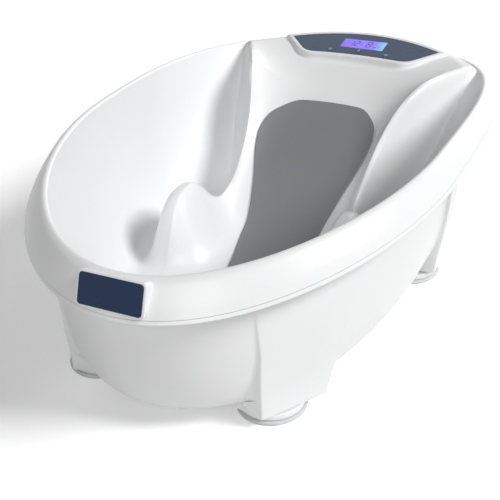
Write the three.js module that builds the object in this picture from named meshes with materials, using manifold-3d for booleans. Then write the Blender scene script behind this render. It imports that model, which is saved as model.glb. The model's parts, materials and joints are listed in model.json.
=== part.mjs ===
// Baby bath with a built-in scale, in millimetres, +Z up.
// X is the width, Y the length: the foot end with the plate is at -Y, the head end with the display at +Y.
// An inner tub and an outer casing form a double wall that stands on four load cells in the legs.
import * as THREE from 'three'
import { mergeVertices } from 'three/addons/utils/BufferGeometryUtils.js'
import { ConvexGeometry } from 'three/addons/geometries/ConvexGeometry.js'
import Module from 'manifold-3d'

const wasm = await Module()
wasm.setup()

// Plan of the rim's lower edge
const halfLength = 415
const halfWidth = 257
const widestY = -63.5
const planTaper = 0.047
const headSquareness = 2.65
const stationCount = 60

// Places along the length are measured from the end that they belong to
const headEnd = halfLength
const footEnd = -halfLength

// Rim heights: lower edge along the length, band and crest
const edgeHeight = 197.3
const edgeTilt = -6.3
const edgeArch = 33.4
const bandRise = 31.5
const bandRiseTaper = 9.5
const bandLean = 19.6
const bandLeanTaper = 5.8
const crestWidth = 7.5
const seamHeight = 5.5

// Walls and clearances
const tubWall = 2.6
const casingWall = 2.6
const gap = 0.3
const seamGap = 0.4

// Basin, backrest, ridges and humps
const floorHeight = 34
const wallFront = { y: headEnd - 395, draft: 26, foot: 60, squareness: 2.5 }
const wallRear = { y: headEnd - 275, draft: 50, foot: 80, squareness: 2.2 }
const wallToe = 12
const pocketStartY = headEnd - 405
const pocketRise = 150
const pocketRun = 290
const pocketPower = 1.6
const pocketTop = 158
const seatSlope = 0.7
const seatY = headEnd - 415
const seatHeight = 48.6
const upperBackHeight = 135
const upperBackY = headEnd - 303
const upperBackSlope = 0.36
const shelfHeight = 194.5
const shelfY = headEnd - 135
const shelfSlope = 0.13
const shelfEdgeSlope = 0.9
const ridgeSteepness = 3.2
const ridgeCurl = 7
const ridgeRoundY = headEnd - 315
const humpX = 111
const humpY = headEnd - 473
const humpHeight = 92
const humpInner = { reach: 44, power: 1.5 }
const humpOuter = { reach: 37, power: 3.6 }
const humpFront = { reach: 68, power: 3.4 }
const humpRear = { reach: 84, power: 2.3 }
const humpBlend = 30
const spineFrontY = footEnd + 200
const spineRearY = headEnd - 215

// Belly of the outer casing
const bellyHeight = floorHeight - 9.5
const bellyInset = 24.4
const bellyFront = { y: footEnd + 85, draft: 3, foot: 34, squareness: 2.8 }
const bellySide = { y: headEnd - 445, draft: 15, foot: 90, squareness: 4.1 }
const bellySideEnd = { ...bellySide, y: headEnd - 395 }
const bellyRear = { y: headEnd - 275, draft: 45, foot: 100, squareness: 2.4 }
const bellyRiseStartY = headEnd - 353
const bellySpineFrontY = footEnd + 235
const bellySpineRearY = headEnd - 235
const bellyRise = 125
const bellyRiseRun = 328
const bellyRisePower = 1.1
const flangeInset = 16

// Legs and feet
const legHeight = 14.1
const legFloor = 2.6
const frontFoot = { x: halfWidth - 144.2, y: footEnd + 131.5 }
const rearFoot = { x: halfWidth - 89, y: headEnd - 372 }
const footRadius = 38.5
const gripRadius = 41
const gripHeight = 4.6
const footDiscTop = 12.4
const stemRadius = 9
const stemHole = 12
const cellSeat = 22
const cellSize = 38
const cellHeight = 3
const footTravel = 0.5

// Console with display and keys, in a plane tilted towards the foot end
const consoleY = headEnd - 100
const consoleHeight = 206.3
const consoleTilt = 0.13
const lensHalfWidth = 119
const lensTipV = 6
const lensBackV = 36
const lensFrontV = -35
const lensFrontHalf = 82
const lensThickness = 2
const plinthRim = 7
const plinthSkirt = 11
const plinthDepth = 16
const plinthTopWall = 5
const windowLedge = 2.6
const displayWidth = 68.6
const displayDepth = 28
const displayV = 4
const keyRadius = 5.2
const keyFlange = 5.9
const keySideX = 45
const keySideV = -22.6
const keyMiddleV = -17.8
const keyTravel = 0.6
const keyStemEnd = -6.2
const boardW = -12
const boardThickness = 1.6
const gasketThickness = 1
const trayOffset = 1
const trayWall = 2
const trayFlange = 4
const trayLow = -26
const trayEntryV = -22

// Plate on the foot end of the rim
const plateHeight = 34.2
const plateWidth = 76
const plateY = footEnd + 10.7
const plateZ = 196
const plateLean = 0.375

// Pad on the backrest
const padThickness = 3
const padGap = 0.4

// Battery compartment in the flat of the belly
const bayY = headEnd - 391
const bayLength = 58
const bayWidth = 40
const bayHeight = 20
const bayWall = 2
const bayFlange = 5
const cellRadius = 7.25
const cellLength = 50.5
const cellPitch = 17
const doorThickness = 2.4
const railWidth = 3
const railLip = 2.2

// Drain and temperature probe in the basin floor, and the screws that hold tub and casing together
const drainY = footEnd + 165
const drainTube = 15
const drainBore = 12.5
const drainFlange = 22
const probeX = 62
const probeY = (drainY + humpY) / 2 - 51
const probeRadius = 4
const probeRise = 9
const frontScrewY = footEnd + 170
const rearScrewY = headEnd - 475
const screwPlaces = [[78, frontScrewY], [-78, frontScrewY], [40, rearScrewY], [-40, rearScrewY]]
const screwRadius = 2
const screwHead = 4.2
const bossRadius = 6

const leadRadius = 1.5

// Plan outline and its stations
const sign = Math.sign
const power = (base, exponent) => Math.pow(Math.max(base, 0), exponent)

function rimPlan(theta) {
  const nose = Math.cos(theta)
  const side = Math.abs(Math.sin(theta))
  const exponent = nose > 0 ? 1 : 2 / headSquareness
  const reach = nose > 0 ? halfLength + widestY : halfLength - widestY
  return {
    x: halfWidth * power(side, exponent) * (1 - planTaper * nose),
    y: widestY - reach * sign(nose) * power(Math.abs(nose), exponent),
  }
}

function makeStations(count) {
  const fine = 1200
  const points = []
  for (let i = 0; i <= fine; i++) points.push(rimPlan(Math.PI * i / fine))
  points[0].x = 0
  points[fine].x = 0
  const lengths = [0]
  for (let i = 1; i <= fine; i++) {
    lengths.push(lengths[i - 1] + Math.hypot(points[i].x - points[i - 1].x, points[i].y - points[i - 1].y))
  }
  const half = []
  let k = 0
  for (let s = 0; s <= count / 2; s++) {
    const wanted = lengths[fine] * s / (count / 2)
    while (k < fine - 1 && lengths[k + 1] < wanted) k++
    const share = (wanted - lengths[k]) / (lengths[k + 1] - lengths[k])
    const a = points[Math.max(k - 3, 0)]
    const b = points[Math.min(k + 4, fine)]
    const run = Math.hypot(b.x - a.x, b.y - a.y)
    const onAxis = s === 0 || s === count / 2
    half.push({
      x: onAxis ? 0 : points[k].x + share * (points[k + 1].x - points[k].x),
      y: points[k].y + share * (points[k + 1].y - points[k].y),
      nx: onAxis ? 0 : (b.y - a.y) / run,
      ny: onAxis ? (s === 0 ? -1 : 1) : -(b.x - a.x) / run,
    })
  }
  const mirrored = half.slice(1, -1).reverse().map((p) => ({ x: -p.x, y: p.y, nx: -p.nx, ny: p.ny }))
  return half.concat(mirrored).map((p) => {
    const t = p.y / halfLength
    const edge = edgeHeight + edgeTilt * t - edgeArch * t * t
    const rise = bandRise - bandRiseTaper * t
    const lean = bandLean - bandLeanTaper * t
    return { ...p, edge, rise, lean, crest: edge + rise }
  })
}

const stations = makeStations(stationCount)

function inset(station, distance) {
  return { x: station.x - station.nx * distance, y: station.y - station.ny * distance }
}

function spineY(y, front = spineFrontY, rear = spineRearY) {
  return Math.min(Math.max(y, front), rear)
}

// Smooth unions and a curve through knots
function smoothMax(a, b, blend) {
  const h = Math.max(blend - Math.abs(a - b), 0) / blend
  return Math.max(a, b) + h * h * blend / 4
}

function smoothMin(a, b, blend) {
  return -smoothMax(-a, -b, blend)
}

function curveThrough(knots) {
  const slopes = knots.map((knot, i) => {
    const before = knots[Math.max(i - 1, 0)]
    const after = knots[Math.min(i + 1, knots.length - 1)]
    return (after[1] - before[1]) / (after[0] - before[0])
  })
  return (at) => {
    const last = knots.length - 1
    if (at <= knots[0][0]) return knots[0][1] + slopes[0] * (at - knots[0][0])
    if (at >= knots[last][0]) return knots[last][1] + slopes[last] * (at - knots[last][0])
    let i = 0
    while (at > knots[i + 1][0]) i++
    const width = knots[i + 1][0] - knots[i][0]
    const u = (at - knots[i][0]) / width
    const v = 1 - u
    return v * v * (1 + 2 * u) * knots[i][1] + u * u * (3 - 2 * u) * knots[i + 1][1]
      + width * (v * v * u * slopes[i] - u * u * v * slopes[i + 1])
  }
}

// Ridge line: half-width and height against the distance from the head end
const fromHead = (knots) => knots.map(([distance, value]) => [headEnd - distance, value])
const ridgeX = curveThrough(fromHead([[565, 108], [475, 108], [415, 99], [390, 97], [370, 95], [309, 101],
  [268, 114], [244, 125], [200, 145], [128, 184]]))
const ridgeZ = curveThrough(fromHead([[555, -20], [475, 48], [415, 78], [390, 86], [365, 100], [309, 146],
  [268, 181], [239, 198], [200, 206], [128, 203]]))

function pocketFloor(y) {
  return Math.min(floorHeight + pocketRise * power((y - pocketStartY) / pocketRun, pocketPower), pocketTop)
}

function backLine(y) {
  const seat = seatHeight + seatSlope * (y - seatY)
  const upper = upperBackHeight + upperBackSlope * (y - upperBackY)
  const shelf = shelfHeight + shelfSlope * (y - shelfY)
  return smoothMin(smoothMin(seat, upper, 14), shelf, 12)
}

function backrest(x, y) {
  const across = Math.abs(x)
  const reach = ridgeX(y)
  const top = ridgeZ(y) + ridgeCurl
  const middle = backLine(y)
  const roundness = Math.max(Math.min(4 + (y - seatY) / 30, 7 - (y - ridgeRoundY) / 28), 3)
  const inner = middle + (top - middle) * power(across / reach, roundness)
  const outer = top + ridgeSteepness * (reach - across)
  return smoothMin(inner, outer, 4 * ridgeCurl)
}

function hump(x, y) {
  const sideways = Math.abs(x) - humpX
  const lengthways = y - humpY
  const fall = (distance, side) => power(Math.abs(distance) / side.reach, side.power)
  const share = Math.exp(-fall(sideways, sideways > 0 ? humpOuter : humpInner)
    - fall(lengthways, lengthways > 0 ? humpRear : humpFront))
  return floorHeight - humpBlend + (humpHeight + humpBlend) * share
}

function bed(x, y) {
  const island = smoothMax(pocketFloor(y), backrest(x, y), 14)
  return smoothMax(island, hump(x, y), humpBlend)
}

// Solids from sections: one list of points per station, from the spine and back to it
function orient(geometry) {
  const index = geometry.index.array
  const p = geometry.attributes.position.array
  let volume = 0
  for (let i = 0; i < index.length; i += 3) {
    const [a, b, c] = [index[i] * 3, index[i + 1] * 3, index[i + 2] * 3]
    volume += p[a] * (p[b + 1] * p[c + 2] - p[b + 2] * p[c + 1])
      + p[a + 1] * (p[b + 2] * p[c] - p[b] * p[c + 2])
      + p[a + 2] * (p[b] * p[c + 1] - p[b + 1] * p[c])
  }
  if (volume < 0) {
    for (let i = 0; i < index.length; i += 3) {
      const swap = index[i + 1]
      index[i + 1] = index[i + 2]
      index[i + 2] = swap
    }
  }
  return geometry
}

function weld(geometry) {
  const bare = geometry.clone()
  bare.deleteAttribute('normal')
  bare.deleteAttribute('uv')
  const merged = mergeVertices(bare, 1e-3)
  const kept = []
  const index = merged.index.array
  for (let i = 0; i < index.length; i += 3) {
    const [a, b, c] = [index[i], index[i + 1], index[i + 2]]
    if (a !== b && b !== c && c !== a) kept.push(a, b, c)
  }
  merged.setIndex(kept)
  return orient(merged)
}

function fromTriangles(vertices, faces) {
  const geometry = new THREE.BufferGeometry()
  const numbers = vertices.flatMap((v) => [v.x, v.y, v.z])
  geometry.setAttribute('position', new THREE.Float32BufferAttribute(numbers, 3))
  geometry.setIndex(faces)
  return weld(geometry)
}

function solidFromSections(sections) {
  const count = sections.length
  const rows = sections[0].length
  const points = sections.flat()
  const faces = []
  for (let i = 0; i < count; i++) {
    const next = (i + 1) % count
    for (let k = 0; k < rows - 1; k++) {
      const [a, b] = [i * rows + k, i * rows + k + 1]
      const [c, d] = [next * rows + k + 1, next * rows + k]
      const shorter = points[a].distanceTo(points[c]) - points[b].distanceTo(points[d])
      if (shorter < 0) faces.push(a, b, c, a, c, d)
      else faces.push(a, b, d, b, c, d)
    }
  }
  return fromTriangles(points, faces)
}

// Surface offset: each grid point moves along the normal worked out from its neighbours
function offsetGrid(grid, distance, spineNormal) {
  const count = grid.length
  return grid.map((section, i) => section.map((point, k) => {
    if (k === 0) return point.clone().addScaledVector(spineNormal(point), distance)
    const along = section[Math.min(k + 1, section.length - 1)].clone().sub(section[Math.max(k - 1, 0)])
    const around = grid[(i + 1) % count][k].clone().sub(grid[(i + count - 1) % count][k])
    const normal = along.cross(around).normalize()
    if (point.x === 0) normal.x = 0
    return point.clone().addScaledVector(normal.normalize(), distance)
  }))
}

// Booleans
function toManifold(geometry) {
  const merged = geometry.index ? geometry : weld(geometry)
  return new wasm.Manifold(new wasm.Mesh({
    numProp: 3,
    vertProperties: new Float32Array(merged.attributes.position.array),
    triVerts: new Uint32Array(merged.index.array),
  }))
}

function toGeometry(manifold) {
  const mesh = manifold.getMesh()
  const geometry = new THREE.BufferGeometry()
  geometry.setAttribute('position', new THREE.BufferAttribute(new Float32Array(mesh.vertProperties), 3))
  geometry.setIndex(new THREE.BufferAttribute(new Uint32Array(mesh.triVerts), 1))
  return geometry
}

function shape(base, joined = [], cut = []) {
  let solid = toManifold(base)
  for (const piece of joined) solid = solid.add(toManifold(piece))
  for (const piece of cut) solid = solid.subtract(toManifold(piece))
  return toGeometry(solid)
}

// Simple solids, placed
function box(x, y, z, width, depth, height) {
  return weld(new THREE.BoxGeometry(width, depth, height).translate(x, y, z + height / 2))
}

function disc(x, y, low, high, radius, sides = 24) {
  const cylinder = new THREE.CylinderGeometry(radius, radius, high - low, sides)
  return weld(cylinder.rotateX(Math.PI / 2).translate(x, y, (low + high) / 2))
}

function turned(x, y, profile, sides = 24) {
  const points = profile.map(([radius, height]) => new THREE.Vector2(radius, height))
  return weld(new THREE.LatheGeometry(points, sides).rotateX(Math.PI / 2).translate(x, y, 0))
}

function ringLoft(outline, rings) {
  const vertices = []
  for (const [offset, height] of rings) {
    for (const p of offsetOutline(outline, offset)) {
      vertices.push(new THREE.Vector3(p.x, p.y, typeof height === 'function' ? height(p) : height))
    }
  }
  const count = outline.length
  const faces = []
  for (let r = 0; r < rings.length - 1; r++) {
    for (let i = 0; i < count; i++) {
      const [a, b] = [r * count + i, r * count + (i + 1) % count]
      faces.push(a, b, b + count, a, b + count, a + count)
    }
  }
  const cap = (start) => THREE.ShapeUtils.triangulateShape(vertices.slice(start, start + count), [])
  for (const [a, b, c] of cap(0)) faces.push(a, c, b)
  const top = (rings.length - 1) * count
  for (const [a, b, c] of cap(top)) faces.push(top + a, top + b, top + c)
  return fromTriangles(vertices, faces)
}

function offsetOutline(outline, distance) {
  const count = outline.length
  return outline.map((p, i) => {
    const before = outline[(i + count - 1) % count]
    const after = outline[(i + 1) % count]
    const a = new THREE.Vector2(p.y - before.y, before.x - p.x).normalize()
    const b = new THREE.Vector2(after.y - p.y, p.x - after.x).normalize()
    const mitre = a.clone().add(b)
    const reach = typeof distance === 'function' ? distance(p) : distance
    const scale = reach * 2 / Math.max(mitre.lengthSq(), 1)
    return new THREE.Vector2(p.x + mitre.x * scale, p.y + mitre.y * scale)
  })
}

// A piece of the model: its mesh with its own material
const part = new THREE.Group()
const white = { color: 0xf4f4f5, roughness: 0.25, metalness: 0 }
const navy = { color: 0x1e3150, roughness: 0.2, metalness: 0 }
const slate = { color: 0x42526b, roughness: 0.1, metalness: 0 }
const padGrey = { color: 0x77797d, roughness: 0.7, metalness: 0 }
const footWhite = { color: 0xe4e5e7, roughness: 0.6, metalness: 0 }
const gripRubber = { color: 0xcfd0d2, roughness: 0.8, metalness: 0 }
const steel = { color: 0xb9bcc0, roughness: 0.3, metalness: 0.9 }
const board = { color: 0x1d5a38, roughness: 0.5, metalness: 0 }
const black = { color: 0x1b1c1e, roughness: 0.5, metalness: 0 }
const lit = { color: 0x7a5cff, roughness: 0.15, metalness: 0, emissive: 0x4a38d0 }
const gasket = { color: 0x55585c, roughness: 0.8, metalness: 0 }
const sleeve = { color: 0x2d6fa8, roughness: 0.5, metalness: 0 }
const lead = { color: 0x3a3b3d, roughness: 0.6, metalness: 0 }

function add(name, geometry, look, group = part) {
  const mesh = new THREE.Mesh(geometry, new THREE.MeshStandardMaterial(look))
  mesh.name = name
  group.add(mesh)
  return mesh
}

// Console outline in its own plane: U across, V up the slope
function lensOutline() {
  const outline = []
  const arc = (from, control, to, steps) => {
    const curve = new THREE.QuadraticBezierCurve(from, control, to)
    for (let i = 0; i < steps; i++) outline.push(curve.getPoint(i / steps))
  }
  const tip = new THREE.Vector2(lensHalfWidth, lensTipV)
  const tipLeft = new THREE.Vector2(-lensHalfWidth, lensTipV)
  const corner = new THREE.Vector2(lensFrontHalf, lensFrontV)
  const toTip = tip.clone().sub(corner).normalize().multiplyScalar(14)
  const cornerOut = corner.clone().add(toTip)
  const cornerIn = new THREE.Vector2(lensFrontHalf - 14, lensFrontV + 0.6)
  const flip = (p) => new THREE.Vector2(-p.x, p.y)
  arc(tip, new THREE.Vector2(0, 2 * lensBackV - lensTipV), tipLeft, 12)
  outline.push(tipLeft)
  arc(flip(cornerOut), flip(corner), flip(cornerIn), 4)
  arc(flip(cornerIn), new THREE.Vector2(0, lensFrontV + 8), cornerIn, 5)
  arc(cornerIn, corner, cornerOut, 4)
  outline.push(cornerOut)
  return outline
}

const lens = lensOutline()
const tiltAngle = Math.atan(consoleTilt)
const consoleTurn = new THREE.Matrix4().makeRotationX(tiltAngle)
  .setPosition(0, consoleY, consoleHeight)

function inConsole(geometry) {
  return geometry.clone().applyMatrix4(consoleTurn)
}

// Inner tub: the upper surface from the spine over the crest to the seam, then its underside back
function ridgeDistance(x, y) {
  const across = y < spineFrontY ? Math.hypot(x, y - spineFrontY) : Math.abs(x)
  return across - ridgeX(Math.max(y, spineFrontY))
}

function between(from, to, y) {
  const u = Math.min(Math.max((y - from.y) / (to.y - from.y), 0), 1)
  const share = u * u * (3 - 2 * u)
  const mix = (key) => from[key] + (to[key] - from[key]) * share
  return { draft: mix('draft'), foot: mix('foot'), squareness: mix('squareness') }
}

function wallDistance(form, depthShare) {
  const curl = 1 - power(1 - power(depthShare, form.squareness), 1 / form.squareness)
  return form.draft * depthShare + form.foot * curl
}

function wallDepthShare(form, distance) {
  if (distance >= wallDistance(form, 1)) return 1
  let [low, high] = [0, 1]
  for (let i = 0; i < 30; i++) {
    const middle = (low + high) / 2
    if (wallDistance(form, middle) < distance) low = middle
    else high = middle
  }
  return low
}

function tubSurface() {
  return stations.map((station) => {
    const edge = inset(station, station.lean + crestWidth)
    const axisY = spineY(edge.y)
    const length = Math.hypot(edge.x, edge.y - axisY)
    const at = (share) => ({ x: edge.x * share, y: axisY + (edge.y - axisY) * share })
    let crestShare = 0.3
    while (crestShare < 0.84 && ridgeDistance(at(crestShare).x, at(crestShare).y) < 0) crestShare += 0.002
    const top = station.crest - 2
    const form = between(wallFront, wallRear, station.y)
    const points = []
    const place = (share) => {
      const { x, y } = at(share)
      const depthShare = wallDepthShare(form, length * (1 - share))
      const wall = top - (Math.max(top - pocketFloor(y), 0) + wallToe) * depthShare
      const blend = 1 + 15 * Math.min(depthShare * 4, 1)
      const limit = top + shelfEdgeSlope * length * (1 - share)
      const height = smoothMin(smoothMax(wall, bed(x, y), blend), limit, blend)
      points.push(new THREE.Vector3(share === 0 ? 0 : x, y, height))
    }
    for (const share of [0, 0.33, 0.6, 0.8, 0.92, 1]) place(crestShare * share)
    const room = length * (1 - crestShare)
    const foot = Math.min(wallDistance(form, 1), room * 0.72)
    place(crestShare + Math.min(12, (room - foot) * 0.3) / length)
    place(crestShare + Math.min(28, (room - foot) * 0.7) / length)
    const deepest = wallDepthShare(form, foot)
    for (const share of [1, 0.97, 0.88, 0.72, 0.52, 0.3, 0.1, 0]) {
      place(1 - wallDistance(form, deepest * share) / length)
    }
    const rimPoint = (distance, height) => {
      const p = inset(station, distance)
      points.push(new THREE.Vector3(p.x, p.y, height))
    }
    rimPoint(station.lean + 4, station.crest)
    rimPoint(station.lean + 1.2, station.crest - 0.6)
    for (const share of [0.88, 0.52]) {
      rimPoint(station.lean * Math.pow(share, 1.3), station.edge + station.rise * share)
    }
    rimPoint(seamInset(station), station.edge + seamHeight)
    return points
  })
}

function seamInset(station) {
  return station.lean * Math.pow(seamHeight / station.rise, 1.3)
}

function bedNormal(point) {
  const step = 1
  const slope = (bed(point.x, point.y + step) - bed(point.x, point.y - step)) / (2 * step)
  return new THREE.Vector3(0, -slope, 1).normalize()
}

function closedShell(surface, inner) {
  return solidFromSections(surface.map((section, i) => section.concat([...inner[i]].reverse())))
}

const tubTop = tubSurface()
const tubShell = closedShell(tubTop, offsetGrid(tubTop, -tubWall, bedNormal))

// Console plinth that rises from the head shelf, its cavity, recess and window
const plinth = inConsole(ringLoft(lens, [[plinthSkirt, -plinthDepth], [9, -10], [plinthRim + 0.6, -3],
  [plinthRim - 0.6, -0.6], [plinthRim - 2, 0.2]]))
const plinthCavity = inConsole(ringLoft(lens, [[plinthSkirt - 3.4, -plinthDepth - 36],
  [plinthSkirt - 3.4, -plinthDepth - 2], [5.9, -11], [plinthRim - 2, -plinthTopWall]]))
const lensRecess = inConsole(ringLoft(lens, [[gap, -lensThickness - gap], [gap, 6]]))
const lensWindow = inConsole(ringLoft(lens, [[-windowLedge, -plinthTopWall - 6], [-windowLedge, 6]]))

// Raised block on the foot end of the rim that carries the plate
const plateTurn = new THREE.Matrix4().makeRotationX(-plateLean).setPosition(0, plateY, plateZ)

function rectangle(width, height, round) {
  const outline = []
  const corners = [[1, -1, -90], [1, 1, 0], [-1, 1, 90], [-1, -1, 180]]
  for (const [sx, sy, start] of corners) {
    for (const turn of [0, 30, 60, 90]) {
      const angle = (start + turn) * Math.PI / 180
      outline.push(new THREE.Vector2(sx * (width / 2 - round) + round * Math.cos(angle),
        sy * (height / 2 - round) + round * Math.sin(angle)))
    }
  }
  return outline
}

function onPlate(geometry) {
  return geometry.clone().rotateX(Math.PI / 2).applyMatrix4(plateTurn)
}

const blockOutline = rectangle(plateWidth + 6, plateHeight + 4, 5)
const blockBack = (p) => -2.4 - 11 * (p.y / plateHeight + 0.5)
const plateBlock = onPlate(ringLoft(blockOutline, [[0, blockBack], [0, -0.4], [-0.9, 0.3]]))
const plateRecess = onPlate(ringLoft(rectangle(plateWidth + 2 * gap, plateHeight + 2 * gap, 4.3),
  [[0, -1 - gap], [0, 4]]))

const floorTop = floorHeight + 0.3
const floorUnder = floorHeight - tubWall
const bellyTop = bellyHeight + casingWall
const tubHoles = [
  disc(0, drainY, floorUnder - 6, floorTop + 6, drainTube + gap),
  disc(probeX, probeY, floorUnder - 6, floorTop + 6, probeRadius + gap, 16),
]
const tubBosses = screwPlaces.map(([x, y]) => disc(x, y, bellyTop + gap, floorHeight - 0.8, bossRadius, 16))
const screwBores = screwPlaces.map(([x, y]) => disc(x, y, bellyHeight, floorHeight - 1, screwRadius + gap, 12))
const innerTub = shape(tubShell, [plinth, plateBlock, ...tubBosses],
  [plinthCavity, lensRecess, lensWindow, plateRecess, ...tubHoles, ...screwBores])
add('inner_tub', innerTub, white)

// Outer casing
function bellyFloor(y) {
  return bellyHeight + bellyRise * power((y - bellyRiseStartY) / bellyRiseRun, bellyRisePower)
}

function bellySurface() {
  return stations.map((station) => {
    const form = station.y < bellySide.y
      ? between(bellyFront, bellySide, station.y)
      : between(bellySideEnd, bellyRear, station.y)
    const foot = inset(station, bellyInset + form.draft + form.foot)
    const axisY = spineY(foot.y, bellySpineFrontY, bellySpineRearY)
    const points = []
    for (const share of [0, 0.5]) {
      const y = axisY + (foot.y - axisY) * share
      points.push(new THREE.Vector3(foot.x * share, y, bellyFloor(y)))
    }
    for (const q of [1, 0.98, 0.93, 0.83, 0.68, 0.4, 0.05]) {
      const curl = 1 - power(1 - power(q, form.squareness), 1 / form.squareness)
      const p = inset(station, bellyInset + form.draft * q + form.foot * curl)
      points.push(new THREE.Vector3(p.x, p.y, station.edge - q * (station.edge - bellyFloor(p.y))))
    }
    const rimPoint = (distance, height) => {
      const p = inset(station, distance)
      points.push(new THREE.Vector3(p.x, p.y, height))
    }
    rimPoint(flangeInset, station.edge + 0.6)
    rimPoint(1.6, station.edge)
    rimPoint(0, station.edge + 1.4)
    rimPoint(seamInset(station), station.edge + seamHeight - seamGap)
    return points
  })
}

function capped(surface, ends) {
  return solidFromSections(surface.map((section, i) => {
    const spine = new THREE.Vector3(0, spineY(ends[i].y), edgeHeight)
    return [...section, ends[i], spine]
  }))
}

const bellyOut = bellySurface()
const bellyIn = offsetGrid(bellyOut, casingWall, () => new THREE.Vector3(0, 0, 1))
const lipInside = bellyIn.map((section) => section[section.length - 1])
const lipAbove = lipInside.map((p) => new THREE.Vector3(p.x, p.y, p.z + 40))

// Legs: flat panels that flare out of the belly, given at several heights as corners round the foot's centre
const frontLeg = [
  { z: legHeight, corners: [[10.4, -48], [57.9, 22.5], [5.2, 61.5], [-40.8, 27.5], [-44.8, -34.1]] },
  { z: 103, corners: [[12.2, -46.3], [74.6, 46.3], [37.2, 83.5], [-32.8, 43.5], [-42.8, -26.5]] },
  { z: 176, corners: [[8.5, -48.3], [85.6, 70.5], [37.2, 91.3], [-32.8, 43.5], [-42.8, -26.5]] },
]
const rearLeg = [
  { z: legHeight, corners: [[-40, -29.2], [41.4, -21.3], [41.5, -1.7], [0, 50], [-40, 50]] },
  { z: 66, corners: [[-18, -35], [51, -30.5], [50.7, 1], [17, 77], [-40, 72]] },
  { z: 133, corners: [[-8, -41], [62.5, -38], [59.2, 7], [32, 102], [-40, 87]] },
  { z: 190, corners: [[2, -43], [68, -42], [65, 19], [37, 107], [-40, 97]] },
]

function legSolid(foot, leg, side, shrink) {
  const points = []
  leg.forEach(({ z, corners }, level) => {
    const middleX = corners.reduce((sum, c) => sum + c[0], 0) / corners.length
    const middleY = corners.reduce((sum, c) => sum + c[1], 0) / corners.length
    const height = shrink > 0 && level === 0 ? z + legFloor : z
    for (const [x, y] of corners) {
      const away = Math.hypot(x - middleX, y - middleY)
      const keep = (away - shrink * 1.5) / away
      const across = foot.x + middleX + (x - middleX) * keep
      points.push(new THREE.Vector3(side * across, foot.y + middleY + (y - middleY) * keep, height))
    }
  })
  return weld(new ConvexGeometry(points))
}

const legs = []
const legCavities = []
for (const side of [1, -1]) {
  for (const [foot, leg] of [[frontFoot, frontLeg], [rearFoot, rearLeg]]) {
    legs.push(legSolid(foot, leg, side, 0))
    legCavities.push(legSolid(foot, leg, side, casingWall))
  }
}

const feet = []
for (const side of [1, -1]) {
  const hand = side > 0 ? 'right' : 'left'
  feet.push({ name: `front_${hand}`, x: side * frontFoot.x, y: frontFoot.y, side })
  feet.push({ name: `rear_${hand}`, x: side * rearFoot.x, y: rearFoot.y, side })
}

const legTop = legHeight + legFloor
const cellRails = []
const stemHoles = []
for (const foot of feet) {
  const offset = cellSize / 2 - 2
  const railHeight = cellSeat - gap - legTop + 0.5
  for (const way of [1, -1]) {
    cellRails.push(box(foot.x + way * offset, foot.y, legTop - 0.5, 4, cellSize, railHeight))
  }
  stemHoles.push(disc(foot.x, foot.y, legHeight - 4, legTop + 1, stemHole))
}

// Rails under the belly in which the battery door slides
const doorHalf = bayLength / 2 + 3
const doorTop = bellyHeight - gap
const doorLow = doorTop - doorThickness
const railLow = doorLow - gap - railLip
const rails = []
for (const side of [1, -1]) {
  const outside = side * (doorHalf + gap + railWidth / 2)
  rails.push(box(outside, bayY, railLow, railWidth, bayWidth + 4, bellyHeight + 1 - railLow))
  rails.push(box(side * (doorHalf + gap), bayY, railLow, railWidth, bayWidth + 4, railLip))
}
const bayHole = box(0, bayY, bellyHeight - 4, bayLength, bayWidth, 12)
const screwHoles = screwPlaces.map(([x, y]) => disc(x, y, bellyHeight - 4, bellyHeight + 8,
  screwRadius + gap, 12))

const casingBody = toManifold(shape(capped(bellyOut, lipInside), legs))
  .subtract(toManifold(capped(bellyIn, lipAbove)))
  .subtract(toManifold(shape(legCavities[0], legCavities.slice(1))))
const outerCasing = shape(toGeometry(casingBody), [...cellRails, ...rails],
  [...stemHoles, bayHole, ...screwHoles, disc(0, drainY, bellyHeight - 6, bellyTop + 3, drainTube + gap)])
add('outer_casing', outerCasing, white)

// Pad on the backrest: a slab that follows the tub, cut to an outline of half-widths against the distance
// from the head end
const padEdge = [[0, 230], [28, 231], [51, 235.5], [68.6, 252], [81, 272], [85.3, 298.5], [82.2, 320],
  [76, 339], [69.3, 358], [63.5, 377], [57.8, 398], [54.5, 415], [53.6, 432], [50, 453], [45, 473], [41, 491],
  [37, 510], [33, 528], [26, 542], [14, 550]]
const padSide = (side) => padEdge.slice(1).map(([across, distance]) => [side * across, headEnd - distance])
const padTop = [0, headEnd - padEdge[0][1]]
const padOutline = [...padSide(1).reverse(), padTop, ...padSide(-1)].map(([x, y]) => new THREE.Vector2(x, y))
const inside = tubTop.map((section) => section.slice(0, 8))
const lifted = (rise) => inside.map((section) => section.map((p) => new THREE.Vector3(p.x, p.y, p.z + rise)))
const padSlab = closedShell(lifted(padGap + padThickness), lifted(padGap))
const padBlank = ringLoft(padOutline, [[0, 20], [0, 240]])
add('backrest_pad', toGeometry(toManifold(padSlab).intersect(toManifold(padBlank))), padGrey)

const plateRings = [[0, -1], [0, 0.2], [-0.4, 0.6]]
add('badge_plate', onPlate(ringLoft(rectangle(plateWidth, plateHeight, 4), plateRings)), navy)

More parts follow.
